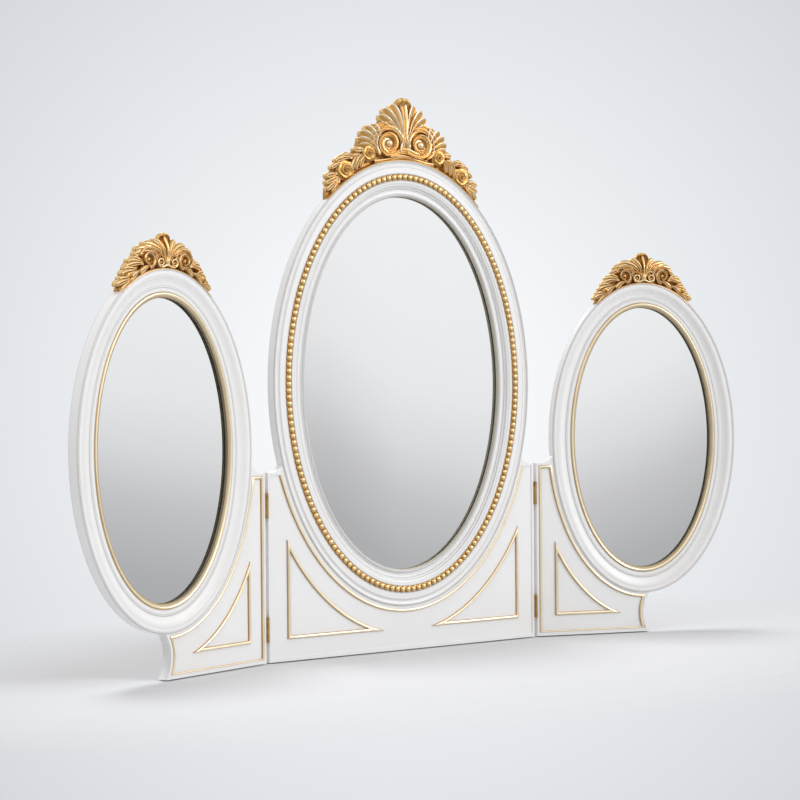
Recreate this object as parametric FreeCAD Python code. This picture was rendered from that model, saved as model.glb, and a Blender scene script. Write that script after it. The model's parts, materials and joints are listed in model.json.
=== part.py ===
import FreeCAD, Part
import math
import os

from FreeCAD import Vector

# Three-panel folding mirror, in millimetres. X runs to the right, Y to the back, Z up.
# The origin is under the middle of the centre board, on the surface that it stands on.

# Layout
HINGE_SPAN = 620.0          # from one hinge axis to the other
FOLD_AT_REST = 16.75        # degrees that each wing stands forward of flat
HINGE_PROUD = 1.0           # hinge axis in front of the boards
EDGE_GAP = 3.5              # from a hinge axis to the edge of each board
BOARD = 22.0                # thickness of the boards and of the frames behind their face
BASE_HEIGHT = 354.0         # height of the boards at the hinges
SHOULDER_FLAT = 6.0         # level stretch of a board's top beside the hinge
SHOULDER_RISE = 14.0        # hollow climb from there to the frame
GLUE_GAP = 0.1              # between glued pieces with curved faces

# Ovals, outer half sizes and centres
CENTRE_HALF_WIDTH = 294.0
CENTRE_HALF_HEIGHT = 434.0
CENTRE_OVAL_Z = 519.0
WING_HALF_WIDTH = 204.0
WING_HALF_HEIGHT = 322.0
WING_OVAL_Z = 403.0
WING_OVAL_REACH = 242.5     # from the hinge axis to the middle of a wing's oval

# Wing foot: a hollow outer edge with its waist above the floor
FOOT_WAIST = 239.0          # from the hinge axis to the waist
FOOT_WAIST_Z = 40.0
FOOT_FLARE = 12.0           # tip beyond the waist

# Glass and backing
SIGHT_SEAT = 15.0           # front of the glass behind the board's face
GLASS = 4.0
BACKING = BOARD - SIGHT_SEAT - GLASS
GLASS_PLAY = 0.8            # glass and backing inside their rebate
REBATE = 7.0                # rebate beyond the centre frame's sight edge

# Centre moulding from the outer arris to the sight edge, as inset and height above the board's face
CENTRE_SIGHT = 69.0
CENTRE_LIP = -3.6
PEARL_SEAT = (26.4, 38.6)
PEARL_SEAT_Z = -0.6
CENTRE_MOULDING = [
    (0.0, 1.2), (1.2, 2.6), (3.2, 2.6), (4.4, 0.4), (8.0, -1.4), (11.6, 0.2), (12.6, 1.0),
    (PEARL_SEAT[0] - 0.4, 1.0), (PEARL_SEAT[0], PEARL_SEAT_Z),
    (PEARL_SEAT[1], PEARL_SEAT_Z), (PEARL_SEAT[1] + 0.4, 0.8),
    (45.0, 0.2), (50.5, -2.6), (51.2, -5.4), (54.6, -5.8), (55.2, -7.2), (59.0, -8.0), (63.0, -7.4),
    (64.2, -4.2), (66.5, -2.8), (CENTRE_SIGHT, CENTRE_LIP)]

# Wing moulding, ending at the slip
WING_SLIP_INSET = 42.4
WING_SIGHT = 51.0
SLIP_FLANGE = 6.4           # slip tucked behind the frame's lip
SLIP_PLAY = 0.15
WING_LIP_BACK = -8.0
WING_LIP = -5.6
WING_MOULDING = [
    (0.0, 1.2), (1.2, 2.6), (4.0, 2.6), (5.0, 1.2), (8.0, 0.2), (11.0, 1.4), (13.4, 1.8),
    (14.6, 0.6), (16.4, -2.0), (19.4, -4.0), (23.4, -5.2), (27.0, -5.6), (27.8, -4.4), (31.6, -4.2),
    (32.6, -5.2), (WING_SLIP_INSET, WING_LIP)]
SLIP_MOULDING = [
    (WING_SLIP_INSET + SLIP_PLAY, WING_LIP - 0.2), (WING_SLIP_INSET + 0.5, -4.9),
    (WING_SLIP_INSET + 2.0, -3.7), (WING_SLIP_INSET + 4.2, -3.3), (WING_SIGHT - 2.2, -3.7),
    (WING_SIGHT - 0.6, -4.8), (WING_SIGHT, -6.0)]

# Pearl beading, gilt beads and triangles
PEARL_HEIGHT = 4.6
PEARL_PLAY = 0.1
FIELD_DEPTH = 2.0           # sunk field of each base board
FIELD_RIM = 4.6             # rim beside the field at the edges
FIELD_RIM_FLOOR = 7.0       # rim along the floor
COLLAR = 6.2                # rim between a frame and its gilt bead
BEAD_WIDTH = 6.2
BEAD_HEIGHT = 3.6
BEAD_PLAY = 0.05
TRIANGLE_FLOOR = 44.0       # middle of a triangle's level side above the floor
CENTRE_TRIANGLE_SIDE = 264.0
CENTRE_TRIANGLE_CLEAR = (43.0, 53.5)   # hollow side's ellipse beyond the frame, across and down
WING_TRIANGLE_SIDE = 46.0   # from the hinge axis
WING_TRIANGLE_CLEAR = (40.8, 53.0)

# Butt hinges
HINGE_LENGTH = 46.0
HINGE_FOOT = 39.0           # lower hinge above the floor
HINGE_HEAD = 38.0           # upper hinge below the top of the boards
HINGE_HEIGHTS = (HINGE_FOOT, BASE_HEIGHT - HINGE_HEAD - HINGE_LENGTH)
KNUCKLE_RADIUS = 3.0
KNUCKLES = 5
KNUCKLE_GAP = 0.3
PIN_RADIUS = 1.5
PIN_PLAY = 0.05
LEAF = 1.5
LEAF_REACH = 19.0           # from the hinge axis to the back edge of a leaf
LEAF_CLEAR = 0.35           # round the other leaf's knuckles
LEAF_SCREW_MARGIN = 7.0
LEAF_SCREW_SETBACK = 11.0   # from the hinge axis
LEAF_SCREWS = 3
SCREW_RADIUS = 1.4
SCREW_HEAD_RADIUS = 2.8
SCREW_LENGTH = 15.0
SCREW_PLAY = 0.05

# Turn buttons behind the frames
BUTTON_LENGTH = 30.0
BUTTON_WIDTH = 12.0
BUTTON = 1.5
BUTTON_SETBACK = 8.0        # screw outside the rebate
BUTTON_SCREW_LENGTH = 9.0
BUTTON_HEAD_RADIUS = 3.4
BUTTON_HEAD = 1.8
CENTRE_BUTTONS = 8
WING_BUTTONS = 6

# Dowels
DOWEL_RADIUS = 4.0
DOWEL_LENGTH = 36.0
DOWEL_PLAY = 0.05
CENTRE_DOWELS = (-160.0, -60.0, 60.0, 160.0)
WING_DOWELS = (-150.0, -85.0, -25.0)
CREST_DOWEL_RADIUS = 3.0
CREST_DOWEL_LENGTH = 26.0
CENTRE_CREST_DOWELS = (-70.0, 0.0, 70.0)
WING_CREST_DOWELS = (-42.0, 42.0)

# Crests
CREST_BACK = -19.0          # back of a crest behind the board's face
CREST_GROUND = -5.0         # ground that the carving stands on

HINGE_Y = -BOARD / 2 - HINGE_PROUD
UP = Vector(0, 0, 1)
BACK = Vector(0, 1, 0)


def at(x, proud, z):
    """Point at a height above the boards' front face."""
    return Vector(x, -BOARD / 2 - proud, z)


class Oval:
    """Upright ellipse facing the viewer; an inset shrinks both half sizes by the same amount."""

    def __init__(self, x, z, half_width, half_height):
        self.x = x
        self.z = z
        self.half_width = half_width
        self.half_height = half_height

    def curve(self, inset, proud):
        top = at(self.x, proud, self.z + self.half_height - inset)
        side = at(self.x + self.half_width - inset, proud, self.z)
        return Part.Ellipse(top, side, at(self.x, proud, self.z))

    def wire(self, inset, proud):
        return Part.Wire([self.curve(inset, proud).toShape()])

    def disc(self, inset, front, back):
        """Plate with this outline, from one height down to another."""
        return Part.Face(self.wire(inset, front)).extrude(BACK * (front - back))

    def arc(self, inset, proud, start, through, end):
        """Part of the ellipse between two points of it, passing near a third."""
        curve = self.curve(inset, proud)
        first, middle, last = [curve.parameter(p) for p in (start, through, end)]
        full = 2 * math.pi
        if (middle - first) % full > (last - first) % full:
            first, last = last, first
        return Part.ArcOfEllipse(curve, first, first + (last - first) % full).toShape()

    def drop(self, x, inset):
        """Height of the ellipse above or below its middle at a distance across."""
        share = (x - self.x) / (self.half_width - inset)
        return (self.half_height - inset) * math.sqrt(1 - share * share)

    def low(self, x, inset=0.0):
        return self.z - self.drop(x, inset)

    def high(self, x, inset=0.0):
        return self.z + self.drop(x, inset)

    def reach(self, z, inset=0.0):
        """Half width of the ellipse at a height."""
        share = (z - self.z) / (self.half_height - inset)
        return (self.half_width - inset) * math.sqrt(1 - share * share)

    def place(self, turn, inset):
        """Point of the ellipse at a turn from the top, and its outward direction."""
        x = (self.half_width - inset) * math.sin(turn)
        z = (self.half_height - inset) * math.cos(turn)
        outward = Vector(x / (self.half_width - inset) ** 2, 0, z / (self.half_height - inset) ** 2)
        return self.x + x, self.z + z, outward.normalize()


def loop(points_and_edges):
    """Closed wire from straight runs, given as points, and ready-made edges between them."""
    edges = []
    last = None
    for item in points_and_edges:
        if isinstance(item, Vector):
            if last is not None:
                edges.append(Part.LineSegment(last, item).toShape())
            last = item
        else:
            edges.append(item)
            last = None
    return Part.Wire(edges)


def ruled(wires):
    """Solid through a row of closed wires, joined by ruled faces."""
    return Part.makeLoft(wires, True, True)


def slab(wire, depth):
    return Part.Face(wire).extrude(BACK * depth)


def rod(centre, axis, radius, length):
    """Cylinder centred on a point."""
    return Part.makeCylinder(radius, length, centre - axis * (length / 2), axis)


def raised_bead(outline, first, last, base, height):
    """Half-round bead on a flat, between two offsets of a closed outline; first is the larger loop."""
    def step(share, rise):
        return outline(first + (last - first) * share, base + rise * height)
    mound = ruled([step(0.0, 0.0), step(0.14, 0.62), step(0.36, 1.0)])
    hollow = ruled([step(0.64, 2.0), step(0.64, 1.0), step(0.86, 0.62), step(1.0, 0.0), step(1.0, -1.0)])
    return mound.cut(hollow)


def hollow_shoulder(side, edge, oval):
    """Top of a board beside the hinge: a level stretch, then a hollow climb to the frame.

    Returns the two ends of the level stretch, the hollow as an edge and its end on the frame.
    """
    corner = at(edge, 0, BASE_HEIGHT)
    start_x = edge + side * SHOULDER_FLAT
    end_z = BASE_HEIGHT + SHOULDER_RISE
    end_x = oval.x - side * oval.reach(end_z, -GLUE_GAP)
    run = abs(end_x - start_x)
    radius = (run * run + SHOULDER_RISE * SHOULDER_RISE) / (2 * SHOULDER_RISE)
    half_turn = math.asin(run / radius) / 2 if SHOULDER_RISE < radius else math.pi / 4
    middle = at(start_x + side * radius * math.sin(half_turn), 0,
                BASE_HEIGHT + radius * (1 - math.cos(half_turn)))
    start = at(start_x, 0, BASE_HEIGHT)
    end = at(end_x, 0, end_z)
    return corner, start, Part.Arc(start, middle, end).toShape(), end


centre_oval = Oval(0.0, CENTRE_OVAL_Z, CENTRE_HALF_WIDTH, CENTRE_HALF_HEIGHT)
wing_oval = Oval(WING_OVAL_REACH, WING_OVAL_Z, WING_HALF_WIDTH, WING_HALF_HEIGHT)
centre_edge = HINGE_SPAN / 2 - EDGE_GAP
foot_radius = (FOOT_FLARE ** 2 + FOOT_WAIST_Z ** 2) / (2 * FOOT_FLARE)


def moulded_frame(oval, moulding, sight, seat, rebate_inset):
    """Oval frame: a moulding round the front, an opening and a rebate from the back."""
    last_inset, last_proud = moulding[-1]
    rings = [(0.0, -BOARD)] + moulding + [(last_inset + 1.0, last_proud - 0.5)]
    frame = ruled([oval.wire(inset, proud) for inset, proud in rings])
    frame = frame.cut(oval.disc(sight, moulding[0][1], -BOARD - 1))
    return frame.cut(oval.disc(rebate_inset, seat, -BOARD - 1))


def foot_x(z, offset=0.0):
    """Foot's hollow edge at a height, moved inwards by an offset."""
    radius = foot_radius + offset
    return FOOT_WAIST + foot_radius - math.sqrt(radius ** 2 - (z - FOOT_WAIST_Z) ** 2)


def foot_meets_oval(offset, inset):
    """Point where the foot's edge meets an ellipse round the wing's frame."""
    z = wing_oval.low(WING_OVAL_REACH, inset)
    for _ in range(40):
        x = foot_x(z, offset)
        z = wing_oval.low(x, inset)
    return x, z


def centre_field(offset, proud):
    """Outline of the centre board's sunk field, shrunk by an offset."""
    side = centre_edge - FIELD_RIM - offset
    floor = FIELD_RIM_FLOOR + offset
    top = BASE_HEIGHT - FIELD_RIM - offset
    inset = -COLLAR - offset
    reach = centre_oval.reach(top, inset)
    right = at(reach, proud, top)
    left = at(-reach, proud, top)
    lowest = at(0, proud, centre_oval.low(0, inset))
    return loop([right, at(side, proud, top), at(side, proud, floor), at(-side, proud, floor),
                 at(-side, proud, top), left, centre_oval.arc(inset, proud, left, lowest, right)])


def wing_field(offset, proud):
    """Outline of a wing board's sunk field, shrunk by an offset."""
    side = EDGE_GAP + FIELD_RIM + offset
    floor = FIELD_RIM_FLOOR + offset
    top = BASE_HEIGHT - FIELD_RIM - offset
    inset = -COLLAR - offset
    foot_offset = FIELD_RIM + offset
    upper = at(WING_OVAL_REACH - wing_oval.reach(top, inset), proud, top)
    meet_x, meet_z = foot_meets_oval(foot_offset, inset)
    meet = at(meet_x, proud, meet_z)
    tip = at(foot_x(floor, foot_offset), proud, floor)
    waist = at(foot_x(FOOT_WAIST_Z, foot_offset), proud, FOOT_WAIST_Z)
    between = (upper.x + meet_x) / 2
    through = at(between, proud, wing_oval.low(between, inset))
    return loop([tip, at(side, proud, floor), at(side, proud, top), upper,
                 wing_oval.arc(inset, proud, upper, through, meet),
                 Part.Arc(meet, waist, tip).toShape()])


def triangle(oval, side_x, clear, outward):
    """Outline function of a gilt triangle: two straight sides and one along an ellipse outside the frame."""
    hollow = Oval(oval.x, oval.z, oval.half_width + clear[0], oval.half_height + clear[1])

    def outline(offset, proud):
        x = side_x + outward * offset
        z = TRIANGLE_FLOOR - offset
        upper = at(x, proud, hollow.low(x, offset))
        corner = at(x, proud, z)
        tip_x = hollow.x + outward * hollow.reach(z, offset)
        tip = at(tip_x, proud, z)
        between = (x + tip_x) / 2
        through = at(between, proud, hollow.low(between, offset))
        return loop([upper, corner, tip, hollow.arc(offset, proud, tip, through, upper)])
    return outline


def frame_dowels(oval, places, extra=0.0):
    """Upright dowels across the joint of a frame and its board."""
    return [rod(at(oval.x + x, -BOARD / 2, oval.low(oval.x + x)), UP, DOWEL_RADIUS + extra,
                DOWEL_LENGTH + 2 * extra) for x in places]


def crest_dowels(oval, places, extra=0.0):
    """Upright dowels across the joint of a frame and its crest."""
    middle = (CREST_BACK + CREST_GROUND) / 2
    return [rod(at(oval.x + x, middle, oval.high(oval.x + x)), UP, CREST_DOWEL_RADIUS + extra,
                CREST_DOWEL_LENGTH + 2 * extra) for x in places]


def button_places(oval, count, rebate_inset):
    """Turn buttons spread round an oval: screw position and outward direction."""
    places = []
    for k in range(count):
        x, z, outward = oval.place(2 * math.pi * (k + 0.5) / count, rebate_inset)
        screw = at(x, -BOARD, z) + outward * BUTTON_SETBACK
        places.append((screw, outward))
    return places


def turn_button(screw, outward):
    """Flat plate with round ends, drilled near its outer end and lying on the back of the frame."""
    side = outward.cross(BACK)
    half = BUTTON_WIDTH / 2
    run = BUTTON_LENGTH - BUTTON_WIDTH
    inner = screw - outward * run
    outline = Part.Wire([
        Part.LineSegment(inner + side * half, screw + side * half).toShape(),
        Part.Arc(screw + side * half, screw + outward * half, screw - side * half).toShape(),
        Part.LineSegment(screw - side * half, inner - side * half).toShape(),
        Part.Arc(inner - side * half, inner - outward * half, inner + side * half).toShape()])
    hole = rod(screw, BACK, SCREW_RADIUS + SCREW_PLAY, 4 * BUTTON)
    return slab(outline, BUTTON).cut(hole)


def button_screw(screw):
    """Round-headed screw through a turn button into the frame."""
    head = Part.makeCylinder(BUTTON_HEAD_RADIUS, BUTTON_HEAD, screw + BACK * BUTTON, BACK)
    shank = Part.makeCylinder(SCREW_RADIUS, BUTTON_SCREW_LENGTH + BUTTON, screw - BACK * BUTTON_SCREW_LENGTH,
                              BACK)
    return head.fuse(shank)


def screw_hole(screw):
    """Pilot hole in a frame for a turn button's screw."""
    radius = SCREW_RADIUS + SCREW_PLAY
    depth = BUTTON_SCREW_LENGTH + SCREW_PLAY
    return Part.makeCylinder(radius, depth + 1, screw - BACK * depth, BACK)


def knuckle_spans(owner):
    """Heights of the knuckles of the centre leaf, owner 0, or the wing leaf, owner 1, from the hinge's foot.
    """
    length = (HINGE_LENGTH - (KNUCKLES - 1) * KNUCKLE_GAP) / KNUCKLES
    return [(k * (length + KNUCKLE_GAP), length) for k in range(KNUCKLES) if k % 2 == owner]


def leaf_screws(side, axis_x, foot, extra=0.0):
    """Countersunk screws through a leaf into the board's edge; side points from the axis to the board."""
    into = Vector(side, 0, 0)
    spacing = (HINGE_LENGTH - 2 * LEAF_SCREW_MARGIN) / (LEAF_SCREWS - 1)
    screws = []
    for k in range(LEAF_SCREWS):
        z = foot + LEAF_SCREW_MARGIN + k * spacing
        face = Vector(axis_x + side * (EDGE_GAP - LEAF), HINGE_Y + LEAF_SCREW_SETBACK, z)
        head = Part.makeCone(SCREW_HEAD_RADIUS + extra, SCREW_RADIUS + extra, LEAF, face, into)
        shank = Part.makeCylinder(SCREW_RADIUS + extra, SCREW_LENGTH + extra, face, into)
        screws.append(head.fuse(shank))
    return screws


def hinge_leaf(side, axis_x, foot, owner):
    """Leaf on a board's edge with its own knuckles round the axis, cleared round the other's."""
    axis = Vector(axis_x, HINGE_Y, foot)
    near = min(side * (EDGE_GAP - LEAF), side * EDGE_GAP)
    plate = Part.makeBox(LEAF, LEAF_REACH, HINGE_LENGTH, Vector(axis_x + near, HINGE_Y, foot))
    for start, length in knuckle_spans(1 - owner):
        gap = Part.makeCylinder(KNUCKLE_RADIUS + LEAF_CLEAR, length + 2 * KNUCKLE_GAP,
                                axis + UP * (start - KNUCKLE_GAP), UP)
        plate = plate.cut(gap)
    barrels = [Part.makeCylinder(KNUCKLE_RADIUS, length, axis + UP * start, UP)
               for start, length in knuckle_spans(owner)]
    leaf = plate.fuse(barrels)
    leaf = leaf.cut(Part.makeCylinder(PIN_RADIUS + PIN_PLAY, HINGE_LENGTH + 2, axis - UP, UP))
    return leaf.cut(leaf_screws(side, axis_x, foot, SCREW_PLAY)).removeSplitter()


def hinge_pin(axis_x, foot):
    return Part.makeCylinder(PIN_RADIUS, HINGE_LENGTH, Vector(axis_x, HINGE_Y, foot), UP)


# Carving: blades, bands, balls and blossoms stand on a ground that follows the frame

def bow(start, bend, end, share):
    """Point and side direction on a curve from start to end, drawn towards a bend."""
    a, b, c = (1 - share) ** 2, 2 * share * (1 - share), share ** 2
    x = a * start[0] + b * bend[0] + c * end[0]
    z = a * start[1] + b * bend[1] + c * end[1]
    dx = 2 * (1 - share) * (bend[0] - start[0]) + 2 * share * (end[0] - bend[0])
    dz = 2 * (1 - share) * (bend[1] - start[1]) + 2 * share * (end[1] - bend[1])
    size = math.hypot(dx, dz)
    return x, z, -dz / size, dx / size


# Share of a blade's length, of its width and of its rise: pointed leaves, and lobes with full tips
LEAF_SHAPE = ((0.0, 0.55, 0.6), (0.4, 1.0, 1.0), (0.75, 0.85, 0.9), (1.0, 0.3, 0.45))
LOBE_SHAPE = ((0.0, 0.4, 0.6), (0.5, 0.75, 1.0), (0.86, 1.0, 0.9), (1.0, 0.6, 0.5))


def blade(start, bend, end, width, rise, shape=LEAF_SHAPE, back=CREST_GROUND - 4.0):
    """Leaf blade along a bow: a ridged section that swells and then narrows to its tip."""
    sections = []
    for share, swell, lift in shape:
        x, z, side_x, side_z = bow(start, bend, end, share)
        half = width * swell / 2
        edge = CREST_GROUND + rise * lift * 0.35
        ridge = CREST_GROUND + rise * lift
        corners = [(-half, back), (-half, edge), (0.0, ridge), (half, edge), (half, back)]
        points = [at(x + side_x * s, proud, z + side_z * s) for s, proud in corners]
        sections.append(Part.makePolygon(points + points[:1]))
    return ruled(sections)


def scroll(x, z, radius, turns, start_turn, hand, width, rise):
    """Spiral band that winds in from a radius to its eye, square at its foot and ridged on top."""
    steps = int(turns * 8)
    sections = []
    for k in range(steps + 1):
        share = k / steps
        turn = start_turn + hand * 2 * math.pi * turns * share
        centre_radius = radius * (1 - 0.72 * share)
        half = width * (1 - 0.5 * share) / 2
        lift = CREST_GROUND + rise * (0.7 + 0.3 * share)
        corners = [(-half, CREST_GROUND - 4.0), (-half, lift - 2.0), (0.0, lift), (half, lift - 2.0),
                   (half, CREST_GROUND - 4.0)]
        points = [at(x + (centre_radius + s) * math.cos(turn), proud,
                     z + (centre_radius + s) * math.sin(turn)) for s, proud in corners]
        sections.append(Part.makePolygon(points + points[:1]))
    return ruled(sections)


def eye(x, z, radius, rise):
    return Part.makeSphere(radius, at(x, CREST_GROUND + rise - radius, z))


def petal_ring(x, z, radius, top, petals, turn, base, top_share):
    """Tapered block with as many sides as petals."""
    def ring(size, proud):
        points = [at(x + size * math.cos(turn + 2 * math.pi * k / petals), proud,
                     z + size * math.sin(turn + 2 * math.pi * k / petals)) for k in range(petals)]
        return Part.makePolygon(points + points[:1])
    return ruled([ring(radius * 0.92, base), ring(radius, (base + top) / 2), ring(radius * top_share, top)])


def rose(x, z, radius, rise):
    """Blossom of three rings of petals, each turned against the last, round a bud."""
    top = CREST_GROUND + rise
    base = CREST_GROUND - 4.0
    outer = petal_ring(x, z, radius, top - 0.4 * rise, 6, 0.2, base, 0.72)
    middle = petal_ring(x, z, radius * 0.68, top - 0.15 * rise, 5, 0.8, base, 0.66)
    bud = Part.makeSphere(radius * 0.3, at(x, top - radius * 0.3, z))
    return [outer, middle, bud]


def crest_ground(oval, end, heights):
    """Ground of a crest: its foot on the frame, its top a smooth line through heights above the frame."""
    start = at(oval.x - end, CREST_GROUND, oval.high(oval.x - end, -GLUE_GAP))
    finish = at(oval.x + end, CREST_GROUND, oval.high(oval.x + end, -GLUE_GAP))
    top = at(oval.x, CREST_GROUND, oval.high(oval.x, -GLUE_GAP))
    places = [(-x, rise) for x, rise in reversed(heights[1:])] + heights
    line = Part.BSplineCurve()
    line.interpolate([start] + [at(oval.x + x, CREST_GROUND, oval.high(oval.x + x) + rise)
                                for x, rise in places] + [finish])
    foot = oval.arc(-GLUE_GAP, CREST_GROUND, finish, top, start)
    return slab(Part.Wire([line.toShape(), foot]), CREST_GROUND - CREST_BACK)


def both_sides(maker, oval, pieces):
    """The same carving to the right and, mirrored, to the left of an oval's middle."""
    made = []
    for hand in (1, -1):
        for piece in pieces:
            made += maker(hand, oval, *piece)
    return made


def blades_of(hand, oval, start, bend, end, width, rise, shape=LEAF_SHAPE):
    """One blade given by distances from the oval's middle and heights above the top of its frame."""
    top = oval.z + oval.half_height
    points = [(oval.x + hand * x, top + z) for x, z in (start, bend, end)]
    return [blade(points[0], points[1], points[2], width, rise, shape)]


def roses_of(hand, oval, x, z, radius, rise):
    return rose(oval.x + hand * x, oval.z + oval.half_height + z, radius, rise)


def scrolls_of(hand, oval, x, z, radius, turns, start_turn, width, rise, eye_radius):
    """Scroll with a ball at its eye; the start turn is seen from the right-hand side."""
    px = oval.x + hand * x
    pz = oval.z + oval.half_height + z
    begin = start_turn if hand > 0 else math.pi - start_turn
    return [scroll(px, pz, radius, turns, begin, hand, width, rise), eye(px, pz, eye_radius, rise + 3.0)]


# Centre crest, from its middle: ground line, palmette lobes, volutes, leaves and roses
CENTRE_CREST_END = 172.0
CENTRE_CREST_LINE = [(0.0, 112.0), (16.0, 104.0), (32.0, 86.0), (56.0, 62.0), (88.0, 46.0),
                     (112.0, 30.0), (140.0, 38.0), (160.0, 22.0)]
PALMETTE_LOBES = [
    ((5.5, 24.0), (6.5, 70.0), (8.0, 112.0), 13.0, 14.0, LOBE_SHAPE),
    ((8.0, 26.0), (10.0, 78.0), (27.0, 106.0), 15.0, 13.0, LOBE_SHAPE),
    ((10.0, 28.0), (13.0, 72.0), (44.0, 96.0), 15.0, 12.0, LOBE_SHAPE),
    ((12.0, 30.0), (17.0, 66.0), (53.0, 82.0), 14.0, 11.0, LOBE_SHAPE),
    ((14.0, 33.0), (22.0, 62.0), (54.0, 68.0), 12.0, 10.0, LOBE_SHAPE)]
PALMETTE_HOOD = ((-21.0, 106.0), (0.0, 130.0), (21.0, 106.0), 16.0, 16.0)
CENTRE_LEAVES = [
    ((2.0, 17.0), (17.0, 18.0), (36.0, 8.0), 9.0, 9.0),
    ((2.0, 6.0), (20.0, 7.0), (44.0, -2.0), 8.0, 7.0),
    ((15.0, 46.0), (34.0, 76.0), (61.0, 48.0), 9.0, 9.0),
    ((56.0, 26.0), (61.0, 54.0), (71.0, 66.0), 14.0, 9.0, LOBE_SHAPE),
    ((59.0, 24.0), (69.0, 50.0), (86.0, 60.0), 15.0, 9.5, LOBE_SHAPE),
    ((61.0, 22.0), (76.0, 43.0), (97.0, 49.0), 15.0, 9.0, LOBE_SHAPE),
    ((63.0, 19.0), (81.0, 32.0), (102.0, 35.0), 14.0, 9.5, LOBE_SHAPE),
    ((84.0, 8.0), (97.0, 20.0), (113.0, 12.0), 14.0, 9.0),
    ((90.0, 2.0), (108.0, 4.0), (110.0, -24.0), 15.0, 10.0),
    ((112.0, -8.0), (132.0, 6.0), (152.0, -10.0), 16.0, 8.0),
    ((144.0, -34.0), (158.0, -33.0), (173.0, -41.0), 13.0, 8.0),
    ((146.0, -41.0), (160.0, -46.0), (173.0, -57.0), 12.0, 9.0),
    ((144.0, -44.0), (155.0, -55.0), (167.0, -72.0), 12.0, 8.5)]
CENTRE_ROSES = [(79.0, 9.0, 16.0, 13.0), (133.0, -26.0, 20.0, 14.0)]
CENTRE_VOLUTES = [(36.0, 31.0, 21.0, 1.25, -0.6 * math.pi, 9.0, 13.0, 8.0)]

# Wing crest: acanthus leaf, small volutes, scrolls and end leaves
WING_CREST_END = 106.0
WING_CREST_LINE = [(0.0, 57.0), (10.0, 53.0), (22.0, 45.0), (44.0, 40.0), (62.0, 26.0), (84.0, 16.0),
                   (98.0, 10.0)]
WING_LEAF_LOBES = [
    ((3.5, 8.0), (4.5, 34.0), (6.0, 56.0), 9.0, 12.0, LOBE_SHAPE),
    ((5.5, 10.0), (7.0, 38.0), (18.0, 51.0), 9.5, 11.5, LOBE_SHAPE),
    ((7.0, 11.0), (10.0, 38.0), (33.0, 45.0), 10.5, 11.0, LOBE_SHAPE),
    ((9.0, 13.0), (16.0, 40.0), (47.0, 39.0), 11.0, 10.5, LOBE_SHAPE),
    ((12.0, 15.0), (25.0, 37.0), (52.0, 29.0), 10.0, 10.0, LOBE_SHAPE),
    ((58.0, 8.0), (64.0, 26.0), (74.0, 19.0), 11.0, 9.0),
    ((54.0, 1.0), (68.0, 15.0), (85.0, 8.0), 12.0, 9.5),
    ((58.0, -5.0), (75.0, 5.0), (94.0, -5.0), 12.0, 9.0),
    ((80.0, -13.0), (96.0, -14.0), (108.0, -26.0), 11.0, 8.0),
    ((78.0, -18.0), (91.0, -25.0), (103.0, -41.0), 10.0, 8.5)]
WING_LEAF_HOOD = ((-11.0, 53.0), (0.0, 67.0), (11.0, 53.0), 9.0, 13.0)
WING_FLOWERS = [(82.0, -12.0, 8.5, 11.0)]
WING_VOLUTES = [(18.0, 12.0, 8.5, 1.0, -0.6 * math.pi, 5.0, 11.0, 4.0),
                (47.0, 13.0, 13.0, 1.1, 0.5 * math.pi, 6.0, 10.0, 4.5)]


def hood(oval, start, bend, end, width, rise):
    """Curled-over top lobe across the middle of a crest."""
    top = oval.z + oval.half_height
    points = [(oval.x + x, top + z) for x, z in (start, bend, end)]
    return [blade(points[0], points[1], points[2], width, rise)]


def crest(oval, end, line, lobes, flowers, volutes, hood_lobe, dowel_places):
    """Carved crest, one solid, drilled for its dowels and trimmed to the frame."""
    carving = both_sides(blades_of, oval, lobes)
    carving += both_sides(roses_of, oval, flowers)
    carving += both_sides(scrolls_of, oval, volutes)
    carving += hood(oval, *hood_lobe)
    body = crest_ground(oval, end, line).fuse(carving)
    body = body.cut(oval.disc(-GLUE_GAP, 60.0, -60.0))
    return body.cut(crest_dowels(oval, dowel_places, DOWEL_PLAY))


def centre_board():
    """Base board of the centre panel, hollowed for the frame, with its sunk field."""
    corner, start, climb, end = hollow_shoulder(-1, centre_edge, centre_oval)
    corner_left, start_left, climb_left, end_left = hollow_shoulder(1, -centre_edge, centre_oval)
    lowest = at(0, 0, centre_oval.low(0, -GLUE_GAP))
    outline = loop([start_left, corner_left, at(-centre_edge, 0, 0), at(centre_edge, 0, 0), corner, start,
                    climb, centre_oval.arc(-GLUE_GAP, 0, end, lowest, end_left), climb_left])
    board = slab(outline, BOARD)
    board = board.cut(slab(centre_field(0.0, 0.0), FIELD_DEPTH))
    board = board.cut(frame_dowels(centre_oval, CENTRE_DOWELS, DOWEL_PLAY))
    for side in (1, -1):
        for foot in HINGE_HEIGHTS:
            board = board.cut(leaf_screws(-side, side * HINGE_SPAN / 2, foot, SCREW_PLAY))
    return board


def wing_board():
    """Base board of a wing, hollowed for the frame and at the foot, with its sunk field."""
    corner, start, climb, end = hollow_shoulder(1, EDGE_GAP, wing_oval)
    meet_x, meet_z = foot_meets_oval(0.0, -GLUE_GAP)
    meet = at(meet_x, 0, meet_z)
    tip = at(foot_x(0.0), 0, 0)
    waist = at(FOOT_WAIST, 0, FOOT_WAIST_Z)
    between = (end.x + meet_x) / 2
    through = at(between, 0, wing_oval.low(between, -GLUE_GAP))
    outline = loop([tip, at(EDGE_GAP, 0, 0), corner, start, climb,
                    wing_oval.arc(-GLUE_GAP, 0, end, through, meet), Part.Arc(meet, waist, tip).toShape()])
    board = slab(outline, BOARD)
    board = board.cut(slab(wing_field(0.0, 0.0), FIELD_DEPTH))
    board = board.cut(frame_dowels(wing_oval, WING_DOWELS, DOWEL_PLAY))
    for foot in HINGE_HEIGHTS:
        board = board.cut(leaf_screws(1, 0.0, foot, SCREW_PLAY))
    return board


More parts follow.
